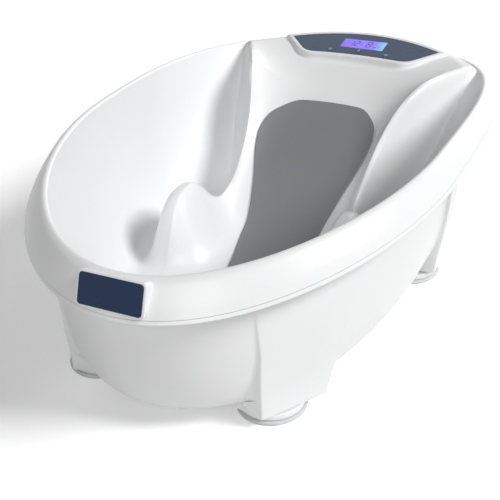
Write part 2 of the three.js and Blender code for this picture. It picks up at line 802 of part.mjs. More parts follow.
// Console: lens with its window and keys, display, board, tray and gasket
const displayHole = box(0, displayV, -6, displayWidth + 2 * gap, displayDepth + 2 * gap, 12)
const keys = [
  { name: 'power', u: -keySideX, v: keySideV },
  { name: 'temperature', u: 0, v: keyMiddleV },
  { name: 'weigh', u: keySideX, v: keySideV },
]
const keyHoles = keys.map(({ u, v }) => disc(u, v, -6, 6, keyRadius + gap, 20))
add('lens_panel', inConsole(shape(ringLoft(lens, [[0, -lensThickness], [0, -0.3], [-0.3, 0]]), [],
  [displayHole, ...keyHoles])), slate)
for (const { name, u, v } of keys) {
  const under = -lensThickness - gap
  add(`${name}_button`, inConsole(turned(u, v, [[0, keyStemEnd], [2, keyStemEnd], [2, under - 1.2],
    [keyFlange, under - 1.2], [keyFlange, under], [keyRadius, under], [keyRadius, 0.1], [keyRadius - 0.5, 0.5],
    [0, 0.5]], 16)), slate)
  const low = boardW + boardThickness + gap
  const plunger = disc(u, v, low + 1, keyStemEnd - keyTravel - gap, 1.6, 8)
  add(`${name}_switch`, inConsole(shape(box(u, v, low, 6, 6, 2.2), [plunger])), black)
}
add('display_glass', inConsole(box(0, displayV, -1.9, displayWidth, displayDepth, 1.6)), lit)
const frameLow = boardW + boardThickness + gap
const frameBlock = box(0, displayV, frameLow, displayWidth + 3, displayDepth + 3, -2.3 - frameLow)
add('display_frame', inConsole(shape(frameBlock, [],
  [box(0, displayV, frameLow + 1.2, displayWidth - 3, displayDepth - 3, 12)])), black)
const wide = -trayOffset - trayWall - 0.6
add('main_board', inConsole(ringLoft(lens, [[wide, boardW], [wide, boardW + boardThickness]])), board)
add('scale_chip', inConsole(box(-62, 0, frameLow, 12, 12, 1.8)), black)
add('lead_socket', inConsole(box(0, -16, boardW - gap - 5, 56, 7, 5)), black)
const trayTop = -plinthTopWall - 2 * gap - gasketThickness
add('console_tray', inConsole(shape(ringLoft(lens, [[-trayOffset, trayLow], [-trayOffset, trayTop]]),
  [ringLoft(lens, [[trayFlange, trayTop - 1.8], [trayFlange, trayTop]])],
  [ringLoft(lens, [[-trayOffset - trayWall, trayLow + trayWall], [-trayOffset - trayWall, 4]])])), white)
add('console_gasket', inConsole(shape(ringLoft(lens, [[trayFlange, trayTop + gap], [trayFlange,
  trayTop + gap + gasketThickness]]), [], [ringLoft(lens, [[-2, -20], [-2, 4]])])), gasket)

// Battery compartment: a cover over the opening in the belly, two cells with their contacts, and the door
const bayLow = bellyTop + 2 * gap
const bayTop = bayLow + bayHeight
const bayCavity = box(0, bayY, bayLow - 2, bayLength, bayWidth, bayHeight + 2 - bayWall)
add('battery_bay', shape(box(0, bayY, bayLow, bayLength + 2 * bayWall, bayWidth + 2 * bayWall, bayHeight),
  [box(0, bayY, bayLow, bayLength + 2 * (bayWall + bayFlange), bayWidth, 1.8)], [bayCavity]), white)
const cellZ = bayTop - bayWall - gap - cellRadius
for (const [name, side] of [['battery_1', 1], ['battery_2', -1]]) {
  const cell = turned(0, 0, [[0, -cellLength / 2], [cellRadius, -cellLength / 2],
    [cellRadius, cellLength / 2 - 1.5], [2.75, cellLength / 2 - 1.5], [2.75, cellLength / 2],
    [0, cellLength / 2]], 16)
  add(name, cell.rotateY(side * Math.PI / 2).translate(0, bayY + side * cellPitch / 2, cellZ), sleeve)
}
const contactX = bayLength / 2 - gap - 0.5
const contactReach = contactX - 0.5 - cellLength / 2 - gap

function contact(side, low, high) {
  const plate = box(side * contactX, (low + high) / 2, cellZ - 5, 1, high - low, 10)
  const nubs = [low + 5, high - 5].filter((y, i) => i === 0 || high - low > 14).map((y) => {
    const nub = new THREE.CylinderGeometry(2, 2, contactReach + 0.4, 12).rotateZ(Math.PI / 2)
    return weld(nub.translate(side * (contactX - 0.3 - contactReach / 2), y, cellZ))
  })
  return shape(plate, nubs)
}

add('contact_link', contact(-1, bayY - cellPitch / 2 - 5, bayY + cellPitch / 2 + 5), steel)
add('contact_positive', contact(1, bayY + cellPitch / 2 - 5, bayY + cellPitch / 2 + 5), steel)
add('contact_negative', contact(1, bayY - cellPitch / 2 - 5, bayY - cellPitch / 2 + 5), steel)
const grips = [-2, 0, 2].map((step) => box(0, bayY - bayWidth / 2 + 6 + step * 1.6, doorLow - 1, 20, 1.4, 1.6))
add('battery_door', shape(box(0, bayY, doorLow, 2 * doorHalf, bayWidth + 3, doorThickness), [], grips), white)

// Drain: a bush through both walls with a plug that lifts out, and a nut and gasket below the basin
const bushTop = floorTop + gap + 2
add('drain_bush', turned(0, drainY, [[drainBore, bellyHeight - 5], [drainTube, bellyHeight - 5],
  [drainTube, floorTop + gap], [drainFlange, floorTop + gap], [drainFlange, bushTop - 0.7],
  [drainFlange - 0.7, bushTop], [drainBore, bushTop], [drainBore, bellyHeight - 5]]), white)
add('drain_gasket', turned(0, drainY, [[drainTube + gap, bellyTop + gap], [drainTube + 5, bellyTop + gap],
  [drainTube + 5, floorUnder - gap], [drainTube + gap, floorUnder - gap], [drainTube + gap, bellyTop + gap]]),
  gasket)
add('drain_nut', turned(0, drainY, [[drainTube + gap, bellyHeight - 4.5], [drainTube + 6, bellyHeight - 4.5],
  [drainTube + 6, bellyHeight - gap], [drainTube + gap, bellyHeight - gap],
  [drainTube + gap, bellyHeight - 4.5]], 20), white)
add('drain_plug', shape(turned(0, drainY, [[0, floorTop - 8], [drainBore - 1.2, floorTop - 8],
  [drainBore - gap, floorTop - 3], [drainBore - gap, bushTop + gap], [drainBore + 4, bushTop + gap],
  [drainBore + 4, bushTop + 1.6], [drainBore + 3.3, bushTop + 2.2], [0, bushTop + 2.2]]),
  [box(0, drainY, bushTop + 1, 14, 3, 9)]), footWhite)

add('temperature_probe', turned(probeX, probeY, [[0, floorUnder - 3.6], [probeRadius, floorUnder - 3.6],
  [probeRadius, floorTop + gap], [7, floorTop + gap], [7, floorTop + 1.3], [6.6, floorTop + 1.7],
  [probeRadius, floorTop + 1.7], [probeRadius, floorTop + probeRise - 3],
  [probeRadius * 0.8, floorTop + probeRise - 1], [probeRadius * 0.4, floorTop + probeRise],
  [0, floorTop + probeRise]], 16), steel)
add('probe_nut', shape(disc(probeX, probeY, floorUnder - 3.2, floorUnder - gap, 8, 6), [],
  [disc(probeX, probeY, floorUnder - 6, floorUnder + 1, probeRadius + gap, 16)]), steel)

screwPlaces.forEach(([x, y], i) => {
  const headTop = bellyHeight - gap
  add(`casing_screw_${i + 1}`, turned(x, y, [[0, headTop - 2.2], [screwHead - 0.8, headTop - 2.2],
    [screwHead, headTop - 1.4], [screwHead, headTop], [screwRadius, headTop], [screwRadius, floorHeight - 2],
    [0, floorHeight - 1.6]], 10), steel)
})

// Feet: grip and disc below each leg, whose stem presses on the load cell above the leg's floor
const stemTop = cellSeat - gap - footTravel
const clipLow = legTop + footTravel
for (const { name, x, y } of feet) {
  add(`foot_grip_${name}`, turned(x, y, [[0, 0], [gripRadius - 1, 0], [gripRadius, 1],
    [gripRadius, gripHeight - 1], [gripRadius - 1, gripHeight], [0, gripHeight]], 24), gripRubber)
  add(`foot_${name}`, turned(x, y, [[0, gripHeight + gap], [footRadius - 1, gripHeight + gap],
    [footRadius, gripHeight + 1.5], [footRadius, footDiscTop - 1.2], [footRadius - 1.2, footDiscTop],
    [stemRadius, footDiscTop], [stemRadius, clipLow - gap], [stemRadius - 2, clipLow - gap],
    [stemRadius - 2, clipLow + 1.6 + gap], [stemRadius, clipLow + 1.6 + gap], [stemRadius - 1, stemTop],
    [0, stemTop]], 24), footWhite)
  add(`foot_clip_${name}`, turned(x, y, [[stemRadius - 2 + gap, clipLow], [stemHole + 2.5, clipLow],
    [stemHole + 2.5, clipLow + 1.6], [stemRadius - 2 + gap, clipLow + 1.6],
    [stemRadius - 2 + gap, clipLow]], 16), steel)
  const slots = [box(x, y - 11, cellSeat - 1, 24, 2.4, cellHeight + 2)]
  for (const way of [1, -1]) slots.push(box(x + way * 10.8, y - 1, cellSeat - 1, 2.4, 22, cellHeight + 2))
  add(`load_cell_${name}`, shape(box(x, y, cellSeat, cellSize, cellSize, cellHeight), [], slots), steel)
}

// Leads inside the double wall: from the load cells, the battery compartment and the probe to the console
const floorLead = bellyTop + leadRadius + 0.7

function wire(points, steps) {
  const bends = points.map(([x, y, z]) => new THREE.Vector3(x, y, z))
  const path = new THREE.CatmullRomCurve3(bends, false, 'centripetal')
  const round = new THREE.Shape()
  for (let i = 0; i < 8; i++) {
    const angle = i * Math.PI / 4
    round[i ? 'lineTo' : 'moveTo'](leadRadius * Math.cos(angle), leadRadius * Math.sin(angle))
  }
  return weld(new THREE.ExtrudeGeometry(round, { steps, bevelEnabled: false, extrudePath: path }))
}

function climb(lane, side) {
  const under = (y, room) => [side * lane, y, bed(lane, y) - room]
  const entry = trayEntry(side * lane)
  const back = [[331, 8], [303, 7.6], [270, 7], [235, 7], [200, 7.4], [175, 8]]
  const below = back.map(([distance, room]) => under(headEnd - distance, room))
  return [...below, [side * lane, headEnd - 153, 156], [side * lane, headEnd - 135, 158],
    [entry[0], entry[1], entry[2] - 9], entry]
}

function trayEntry(x) {
  const end = new THREE.Vector3(x, trayEntryV, trayLow - gap).applyMatrix4(consoleTurn)
  return [end.x, end.y, end.z]
}

for (const { name, x, y, side } of feet) {
  const start = [x - side * (cellSize / 2 + gap), y, cellSeat + cellHeight / 2]
  const rise = [[x - side * 26, y, cellSeat + 3], [x - side * 35, y, floorLead + 1]]
  const frontRoute = [[x - side * 46.8, y + 3, floorLead], [side * 50, footEnd + 153, floorLead],
    [side * 40, footEnd + 183, floorLead], [side * 32, footEnd + 235, floorLead],
    [side * 27, headEnd - 535, floorLead], [side * 26, headEnd - 475, floorLead],
    [side * 33, bayY - 56, floorLead], [side * 41, bayY - 32, floorLead],
    [side * 41, bayY - 2, floorLead + 0.8], [side * 41, bayY + 18, floorLead + 3.4],
    [side * 40, bayY + 38, floorHeight + 18], ...climb(24, side)]
  const rearRoute = [[x - side * 50, y + 1, floorLead + 1], [x - side * 78, y + 2, floorLead + 1],
    [side * 64, y + 7, floorLead + 3], [side * 53, y + 21, floorHeight + 14], ...climb(36, side)]
  if (name.startsWith('front')) add(`load_cell_lead_${name}`, wire([start, ...rise, ...frontRoute], 30), lead)
  else add(`load_cell_lead_${name}`, wire([start, ...rise, ...rearRoute], 24), lead)
}
add('battery_lead', wire([[12, bayY + bayWidth / 2 + bayWall + gap, bayTop - 8], [12, bayY + 30, bayTop - 6],
  [12, bayY + 42, bayTop + 16], ...climb(12, 1)], 18), lead)
add('probe_lead', wire([[probeX, probeY + 8.5, floorLead], [61, probeY + 20, floorLead],
  [57, probeY + 55, floorLead], [52, headEnd - 515, floorLead], [51, headEnd - 475, floorLead],
  [48, bayY - 44, floorLead], [47, bayY - 4, floorLead + 1], [47, bayY + 18, floorLead + 4],
  [44, bayY + 40, floorHeight + 16], ...climb(30, 1)], 26), lead)

export default part
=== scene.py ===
# %% [markdown]
# A baby bath that weighs the child and shows the water's temperature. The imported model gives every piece
# its place. This lesson gives the bath its moulded skins, its soft pad, its small fittings and its
# finishes, and then sets it in a plain white studio.

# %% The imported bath
import json
import math

import bpy
import numpy as np
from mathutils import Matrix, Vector

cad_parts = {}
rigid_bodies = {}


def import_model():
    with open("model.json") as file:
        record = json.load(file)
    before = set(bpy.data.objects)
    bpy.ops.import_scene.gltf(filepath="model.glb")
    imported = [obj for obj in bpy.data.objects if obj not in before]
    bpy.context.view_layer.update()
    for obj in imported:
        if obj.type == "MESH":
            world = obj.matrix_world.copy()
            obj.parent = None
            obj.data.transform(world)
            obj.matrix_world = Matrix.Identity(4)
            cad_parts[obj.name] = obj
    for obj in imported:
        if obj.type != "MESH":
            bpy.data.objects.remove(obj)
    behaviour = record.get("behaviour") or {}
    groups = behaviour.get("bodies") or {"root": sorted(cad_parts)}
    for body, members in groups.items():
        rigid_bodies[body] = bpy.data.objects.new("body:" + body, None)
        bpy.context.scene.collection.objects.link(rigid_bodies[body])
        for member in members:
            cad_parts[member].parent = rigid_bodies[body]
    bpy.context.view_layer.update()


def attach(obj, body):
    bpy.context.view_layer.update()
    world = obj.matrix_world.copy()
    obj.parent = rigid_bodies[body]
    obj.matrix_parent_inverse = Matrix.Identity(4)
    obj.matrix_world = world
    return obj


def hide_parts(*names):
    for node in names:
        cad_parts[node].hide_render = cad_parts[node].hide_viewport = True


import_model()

# %% [markdown]
# The bath is drawn in millimetres, as on a maker's drawing, and the sizes below are the drawing's own. The
# plan is an egg: a half ellipse at the foot end and a squarer curve at the head end. Everything else is
# measured inwards from that outline, so one list of stations round the rim carries both shells.

# %% Sizes of the rim
MM = 0.001
HALF_LENGTH = 415.0
HALF_WIDTH = 257.0
WIDEST_Y = -63.5
PLAN_TAPER = 0.047
HEAD_SQUARENESS = 2.65
STATIONS = 400
EDGE_HEIGHT = 197.3
EDGE_TILT = -6.3
EDGE_ARCH = 33.4
BAND_RISE = 31.5
BAND_RISE_TAPER = 9.5
BAND_LEAN = 19.6
BAND_LEAN_TAPER = 5.8
BAND_CURVE = 1.3
CREST_WIDTH = 7.5
SEAM_HEIGHT = 5.5
SEAM_GAP = 0.4
WALL = 2.6
PLAN_STEPS = 8001


def power(base, exponent):
    return np.power(np.maximum(base, 0.0), exponent)


def rim_plan(turn):
    """Plan outline of the right-hand half, from the foot end at turn 0 to the head end at turn pi."""
    nose = np.cos(turn)
    side = np.abs(np.sin(turn))
    exponent = np.where(nose > 0, 1.0, 2.0 / HEAD_SQUARENESS)
    reach = np.where(nose > 0, HALF_LENGTH + WIDEST_Y, HALF_LENGTH - WIDEST_Y)
    x = HALF_WIDTH * power(side, exponent) * (1 - PLAN_TAPER * nose)
    y = WIDEST_Y - reach * np.sign(nose) * power(np.abs(nose), exponent)
    return x, y


def walk_round_rim(count):
    """Evenly spaced stations round the outline: place, outward direction and the rim's own heights."""
    x, y = rim_plan(np.linspace(0, math.pi, PLAN_STEPS))
    x[0] = x[-1] = 0.0
    run = np.concatenate([[0], np.cumsum(np.hypot(np.diff(x), np.diff(y)))])
    wanted = np.linspace(0, run[-1], count // 2 + 1)
    reach = 3.0
    px, py = np.interp(wanted, run, x), np.interp(wanted, run, y)
    ahead = np.minimum(wanted + reach, run[-1])
    behind = np.maximum(wanted - reach, 0)
    dx = np.interp(ahead, run, x) - np.interp(behind, run, x)
    dy = np.interp(ahead, run, y) - np.interp(behind, run, y)
    nx, ny = dy / np.hypot(dx, dy), -dx / np.hypot(dx, dy)
    nx[0] = nx[-1] = 0.0
    ny[0], ny[-1] = -1.0, 1.0
    rim = {
        "x": np.concatenate([px, -px[-2:0:-1]]),
        "y": np.concatenate([py, py[-2:0:-1]]),
        "nx": np.concatenate([nx, -nx[-2:0:-1]]),
        "ny": np.concatenate([ny, ny[-2:0:-1]]),
    }
    t = rim["y"] / HALF_LENGTH
    rim["edge"] = EDGE_HEIGHT + EDGE_TILT * t - EDGE_ARCH * t * t
    rim["rise"] = BAND_RISE - BAND_RISE_TAPER * t
    rim["lean"] = BAND_LEAN - BAND_LEAN_TAPER * t
    rim["crest"] = rim["edge"] + rim["rise"]
    return rim


rim = walk_round_rim(STATIONS)
print("stations round the rim:", STATIONS)


def inset(distance):
    """Points a given distance inside the outline, one for each station."""
    return rim["x"] - rim["nx"] * distance, rim["y"] - rim["ny"] * distance


seam_inset = rim["lean"] * power(SEAM_HEIGHT / rim["rise"], BAND_CURVE)

# %% [markdown]
# The basin is one moulding, so it is one height above the plan: a pocket floor that climbs towards the
# head, a reclined back with two raised ridges, and two humps that keep the child from sliding down. Each
# form is a short formula, and smooth unions melt them together as the mould's radii do.

# %% Forms of the basin
FLOOR = 34.0
POCKET = {"start": 10.0, "rise": 150.0, "run": 290.0, "power": 1.6, "top": 158.0}
SEAT_SLOPE, SEAT_MIDDLE = 0.7, 48.6
BACK_UNION, SHELF_UNION = 14, 12
UPPER_BACK = {"height": 135.0, "y": 112.0, "slope": 0.36}
SHELF = {"height": 194.5, "y": 280.0, "slope": 0.13, "edge_slope": 0.9}
RIDGE_STEEPNESS = 3.2
RIDGE_CURL = 7.0
SEAT_ROUNDNESS = {"middle": 4, "climb": 30, "back": 7, "back_y": 100, "drop": 28, "least": 3}
HUMP = {"x": 111.0, "y": -58.0, "height": 92.0, "union": 30.0}
HUMP_INNER, HUMP_OUTER, HUMP_FRONT, HUMP_REAR = (44.0, 1.5), (37.0, 3.6), (68.0, 3.4), (84.0, 2.3)
SPINE_FRONT, SPINE_REAR = -215.0, 200.0
WALL_FRONT = {"y": 20.0, "draft": 26.0, "foot": 60.0, "squareness": 2.5}
WALL_REAR = {"y": 140.0, "draft": 50.0, "foot": 80.0, "squareness": 2.2}
WALL_TOE = 12.0
UNION = 14.0


def smooth_max(a, b, blend):
    """The higher of two forms, with a soft radius where they cross."""
    h = np.maximum(blend - np.abs(a - b), 0) / blend
    return np.maximum(a, b) + h * h * blend / 4


def smooth_min(a, b, blend):
    return -smooth_max(-a, -b, blend)


def curve_through(knots):
    """A smooth curve through knots, straight beyond its ends."""
    at, value = np.array(knots, float).T
    low = np.clip(np.arange(len(at)) - 1, 0, None)
    high = np.clip(np.arange(len(at)) + 1, None, len(at) - 1)
    slope = (value[high] - value[low]) / (at[high] - at[low])

    def curve(x):
        x = np.asarray(x, float)
        i = np.clip(np.searchsorted(at, x) - 1, 0, len(at) - 2)
        width = at[i + 1] - at[i]
        u = np.clip((x - at[i]) / width, 0, 1)
        v = 1 - u
        middle = v * v * (1 + 2 * u) * value[i] + u * u * (3 - 2 * u) * value[i + 1]
        middle = middle + width * (v * v * u * slope[i] - u * u * v * slope[i + 1])
        before = np.minimum(x - at[0], 0) * slope[0]
        after = np.maximum(x - at[-1], 0) * slope[-1]
        return middle + before + after

    return curve


ridge_x = curve_through([(-150, 108), (-60, 108), (0, 99), (25, 97), (45, 95), (106, 101), (147, 114),
                         (171, 125), (215, 145), (287, 184)])
ridge_z = curve_through([(-140, -20), (-60, 48), (0, 78), (25, 86), (50, 100), (106, 146), (147, 181),
                         (176, 198), (215, 206), (287, 203)])


def pocket_floor(y):
    climb = POCKET["rise"] * power((y - POCKET["start"]) / POCKET["run"], POCKET["power"])
    return np.minimum(FLOOR + climb, POCKET["top"])


def back_line(y):
    seat = SEAT_MIDDLE + SEAT_SLOPE * y
    upper = UPPER_BACK["height"] + UPPER_BACK["slope"] * (y - UPPER_BACK["y"])
    shelf = SHELF["height"] + SHELF["slope"] * (y - SHELF["y"])
    return smooth_min(smooth_min(seat, upper, BACK_UNION), shelf, SHELF_UNION)


def roundness(y):
    """How late the seat turns up into its ridges; a high power is a flat seat with a tight corner."""
    seat = SEAT_ROUNDNESS["middle"] + y / SEAT_ROUNDNESS["climb"]
    back = SEAT_ROUNDNESS["back"] - (y - SEAT_ROUNDNESS["back_y"]) / SEAT_ROUNDNESS["drop"]
    return np.maximum(np.minimum(seat, back), SEAT_ROUNDNESS["least"])


def backrest(x, y):
    across = np.abs(x)
    reach = ridge_x(y)
    top = ridge_z(y) + RIDGE_CURL
    middle = back_line(y)
    inner = middle + (top - middle) * power(across / reach, roundness(y))
    outer = top + RIDGE_STEEPNESS * (reach - across)
    return smooth_min(inner, outer, 4 * RIDGE_CURL)


def fall(distance, before, after):
    """How far a hump has fallen at a distance from its top; each side has a reach and a power of its own."""
    down = power(-distance / before[0], before[1])
    return down + power(distance / after[0], after[1])


def hump(x, y):
    across = fall(np.abs(x) - HUMP["x"], HUMP_INNER, HUMP_OUTER)
    along = fall(y - HUMP["y"], HUMP_FRONT, HUMP_REAR)
    share = np.exp(-across - along)
    return FLOOR - HUMP["union"] + (HUMP["height"] + HUMP["union"]) * share


def bed(x, y):
    """Height of the seat, ridges, humps and pocket floors over the plan."""
    island = smooth_max(pocket_floor(y), backrest(x, y), UNION)
    return smooth_max(island, hump(x, y), HUMP["union"])


print("height of the seat under the child, mm:", round(float(bed(0.0, 0.0)), 1))

# %% [markdown]
# A shell like this is a sheet that is pulled over a form. A flat grid is added, its rows run from the
# spine out to the rim, and every vertex is moved onto the drawing. The edges that then lie on each other
# are merged. The sheet gets its wall from a Solidify modifier, as the plastic has one thickness all over.

# %% Helpers for sheets
MERGE, FINE_MERGE = 0.02, 0.005


def deselect():
    bpy.ops.object.select_all(action="DESELECT")


def only(piece):
    deselect()
    piece.select_set(True)
    bpy.context.view_layer.objects.active = piece


def apply_modifier(piece, kind, **settings):
    only(piece)
    modifier = piece.modifiers.new(kind.title(), kind)
    for key, value in settings.items():
        setattr(modifier, key, value)
    bpy.ops.object.modifier_apply(modifier=modifier.name)


def in_edit_mode(piece, steps):
    """Runs mesh operators on all of a piece."""
    only(piece)
    bpy.ops.object.mode_set(mode="EDIT")
    bpy.ops.mesh.select_all(action="SELECT")
    steps()
    bpy.ops.object.mode_set(mode="OBJECT")


def merge_and_face(piece, upwards=None):
    """Merges doubled points and turns the faces outwards, or up or down for an open sheet."""

    def steps():
        bpy.ops.mesh.remove_doubles(threshold=MERGE * MM)
        bpy.ops.mesh.dissolve_degenerate(threshold=MERGE / 2 * MM)
        bpy.ops.mesh.select_all(action="SELECT")
        bpy.ops.mesh.normals_make_consistent(inside=False)

    in_edit_mode(piece, steps)
    if upwards is not None:
        rise = sum(face.normal.z * face.area for face in piece.data.polygons)
        if (rise > 0) != upwards:
            in_edit_mode(piece, bpy.ops.mesh.flip_normals)


def carry(piece, body, node, degrees=40):
    """Smooths a finished piece, says which body carries it, and hides the node it stands for, if it has one.
    """
    only(piece)
    bpy.ops.object.shade_smooth_by_angle(angle=math.radians(degrees))
    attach(piece, body)
    if node:
        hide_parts(node)


def grid_onto(name, points):
    """Adds a grid and moves it onto points[row, column], given in millimetres."""
    rows, columns = points.shape[:2]
    deselect()
    bpy.ops.mesh.primitive_grid_add(x_subdivisions=columns - 1, y_subdivisions=rows - 1, size=1)
    piece = bpy.context.object
    piece.name = piece.data.name = name
    piece.data.vertices.foreach_set("co", (points.reshape(-1, 3) * MM).ravel())
    piece.data.update()
    return piece


def closed_round(points):
    """Repeats the first station at the end, so that the grid closes on itself."""
    return np.concatenate([points, points[:1]], axis=0)


def rounded_run(knots, steps):
    """Points along a smooth curve through knots of shape [knot, station, 2], ends included."""
    knots = np.asarray(knots)
    padded = np.concatenate([2 * knots[:1] - knots[1:2], knots, 2 * knots[-1:] - knots[-2:-1]])
    out = []
    for i in range(1, len(padded) - 2):
        a, b, c, d = padded[i - 1], padded[i], padded[i + 1], padded[i + 2]
        for t in np.arange(steps) / steps:
            out.append(0.5 * (2 * b + (c - a) * t + (2 * a - 5 * b + 4 * c - d) * t * t
                              + (3 * b - a - 3 * c + d) * t ** 3))
    out.append(knots[-1])
    return np.array(out)


def between(front, rear, y):
    u = np.clip((y - front["y"]) / (rear["y"] - front["y"]), 0, 1)
    share = u * u * (3 - 2 * u)
    return {key: front[key] + (rear[key] - front[key]) * share for key in ("draft", "foot", "squareness")}


def wall_distance(form, depth):
    curl = 1 - power(1 - power(depth, form["squareness"]), 1 / form["squareness"])
    return form["draft"] * depth + form["foot"] * curl


HALVINGS = 34


def wall_depth(form, distance):
    """The depth share at which the basin wall stands this far inside the rim, found by halving."""
    low, high = np.zeros_like(distance), np.ones_like(distance)
    for _ in range(HALVINGS):
        middle = (low + high) / 2
        short = wall_distance(form, middle) < distance
        low, high = np.where(short, middle, low), np.where(short, high, middle)
    return np.where(distance >= wall_distance(form, 1.0), 1.0, low)


# %% [markdown]
# The basin skin is one sheet. From the spine its rows run over the seat to the ridge, across the pocket to
# the foot of the wall, up the wall, over the crest and down the band to the seam. Rows that follow the
# forms keep the ridges crisp with few faces, which a plain height map over a square grid would not.

# %% Basin skin
INNER_ROWS, MIDDLE_ROWS, WALL_ROWS = 30, 22, 24
SHARE_PASSES = 24
NEAREST_RIDGE, FARTHEST_RIDGE, RIDGE_TRIALS = 0.3, 0.84, 541
WALL_ROOM = 0.72
WALL_BLEND, EDGE_BLEND = 16, 1
CREST_ROLL = [(CREST_WIDTH, 2), (6.1, 0.6), (4, 0), (1.3, 0.7)]
BAND_SHARES = (0.9, 0.75, 0.58, 0.42)


def ridge_distance(x, y):
    """How far a point lies outside the ridge, which closes in a half circle at the foot end."""
    across = np.where(y < SPINE_FRONT, np.hypot(x, y - SPINE_FRONT), np.abs(x))
    return across - ridge_x(np.maximum(y, SPINE_FRONT))


def basin_points():
    edge_x, edge_y = inset(rim["lean"] + CREST_WIDTH)
    axis_y = np.clip(edge_y, SPINE_FRONT, SPINE_REAR)
    length = np.hypot(edge_x, edge_y - axis_y)
    form = between(WALL_FRONT, WALL_REAR, rim["y"])
    trial = np.linspace(NEAREST_RIDGE, FARTHEST_RIDGE, RIDGE_TRIALS)[:, None]
    past = ridge_distance(edge_x * trial, axis_y + (edge_y - axis_y) * trial) >= 0
    ridge_share = np.where(past.any(axis=0), trial[past.argmax(axis=0), 0], FARTHEST_RIDGE)
    for _ in range(SHARE_PASSES):
        ridge_share = (np.roll(ridge_share, 1) + 2 * ridge_share + np.roll(ridge_share, -1)) / 4
    room = length * (1 - ridge_share)
    foot = np.minimum(wall_distance(form, 1.0), room * WALL_ROOM)
    deepest = wall_depth(form, foot)
    top = rim["crest"] - CREST_ROLL[0][1]

    def place(share):
        x, y = edge_x * share, axis_y + (edge_y - axis_y) * share
        depth = wall_depth(form, length * (1 - share))
        wall = top - (np.maximum(top - pocket_floor(y), 0) + WALL_TOE) * depth
        blend = EDGE_BLEND + (WALL_BLEND - EDGE_BLEND) * np.minimum(depth * 4, 1)
        limit = top + SHELF["edge_slope"] * length * (1 - share)
        height = smooth_min(smooth_max(wall, bed(x, y), blend), limit, blend)
        return np.stack([x, y, height], axis=-1)

    rows = [place(ridge_share * k / INNER_ROWS) for k in range(INNER_ROWS)]
    wall_share = 1 - foot / length
    rows += [place(ridge_share + (wall_share - ridge_share) * k / MIDDLE_ROWS) for k in range(MIDDLE_ROWS)]
    for k in range(WALL_ROWS):
        depth = deepest * (0.5 + 0.5 * math.cos(math.pi * k / WALL_ROWS))
        rows.append(place(1 - wall_distance(form, depth) / length))
    lean, crest = rim["lean"], rim["crest"]
    knots = [(lean + inwards, crest - down) for inwards, down in CREST_ROLL]
    knots += [(lean * power(share, BAND_CURVE), rim["edge"] + rim["rise"] * share) for share in BAND_SHARES]
    knots.append((seam_inset, rim["edge"] + SEAM_HEIGHT))
    for distance, height in rounded_run([np.stack(np.broadcast_arrays(*k)) for k in knots], 3):
        x, y = inset(distance)
        rows.append(np.stack([x, y, height], axis=-1))
    return np.stack(rows, axis=1)


basin = grid_onto("basin_skin", closed_round(basin_points()))
merge_and_face(basin, upwards=True)
basin_sheet = basin.copy()
basin_sheet.data = basin.data.copy()
apply_modifier(basin, "SOLIDIFY", thickness=WALL * MM, offset=-1.0, use_rim=True)
carry(basin, "bath", "inner_tub", 35)
print("basin skin faces:", len(basin.data.polygons))

# %% [markdown]
# The outer casing is a second shell under the same rim. Its wall leaves the flange upright and curls under
# into a flat belly that rises towards the head. It is a sheet like the basin, from the middle of the belly
# out and up to the seam, so the two shells meet on the same stations.

# %% Sizes of the belly
BELLY = 24.5
BELLY_INSET = 24.4
BELLY_FRONT = {"y": -330.0, "draft": 3.0, "foot": 34.0, "squareness": 2.8}
BELLY_SIDE = {"y": -30.0, "draft": 15.0, "foot": 90.0, "squareness": 4.1}
BELLY_SIDE_END = {**BELLY_SIDE, "y": 20.0}
BELLY_REAR = {"y": 140.0, "draft": 45.0, "foot": 100.0, "squareness": 2.4}
BELLY_RISE = {"start": 62.0, "height": 125.0, "run": 328.0, "power": 1.1}
FLANGE_INSET = 16.0
BELLY_ROWS, UNDER_ROWS = 42, 10
BELLY_SPINE = 180
TOP_SHARE = 0.06
ROW_CURL = 0.8


def belly_floor(y):
    return BELLY + BELLY_RISE["height"] * power((y - BELLY_RISE["start"]) / BELLY_RISE["run"],
                                                BELLY_RISE["power"])


def belly_form(y):
    front, rear = between(BELLY_FRONT, BELLY_SIDE, y), between(BELLY_SIDE_END, BELLY_REAR, y)
    return {key: np.where(y < BELLY_SIDE["y"], front[key], rear[key]) for key in front}


def belly_points():
    form = belly_form(rim["y"])
    foot_x, foot_y = inset(BELLY_INSET + form["draft"] + form["foot"])
    axis_y = np.clip(foot_y, -BELLY_SPINE, BELLY_SPINE)
    rows = []
    for k in range(UNDER_ROWS):
        share = k / UNDER_ROWS
        y = axis_y + (foot_y - axis_y) * share
        rows.append(np.stack([foot_x * share, y, belly_floor(y)], axis=-1))
    for k in range(BELLY_ROWS + 1):
        turn = 0.5 * math.pi * k / BELLY_ROWS
        q = TOP_SHARE + (1 - TOP_SHARE) * math.cos(turn) ** ROW_CURL
        x, y = inset(BELLY_INSET + wall_distance(form, q))
        rows.append(np.stack([x, y, rim["edge"] - q * (rim["edge"] - belly_floor(y))], axis=-1))
    start = BELLY_INSET + wall_distance(form, TOP_SHARE)
    drop = TOP_SHARE * (rim["edge"] - belly_floor(rim["y"]))
    edge = rim["edge"]
    # The wall's top, the flange from inside to outside, its lip, and the seam under the basin's band
    knots = [(start - 0.6, edge - drop * 0.55), (start - 3, edge - 1.2), (FLANGE_INSET + 1.5, edge + 0.5),
             (FLANGE_INSET - 3, edge + 0.6), (8, edge + 0.3), (2.4, edge), (0.7, edge + 0.3),
             (0, edge + 1.6), (seam_inset, edge + SEAM_HEIGHT - SEAM_GAP)]
    zero = np.zeros(STATIONS)
    for distance, height in rounded_run([np.stack([a + zero, b + zero]) for a, b in knots], 2):
        x, y = inset(distance)
        rows.append(np.stack([x, y, height], axis=-1))
    return np.stack(rows, axis=1)


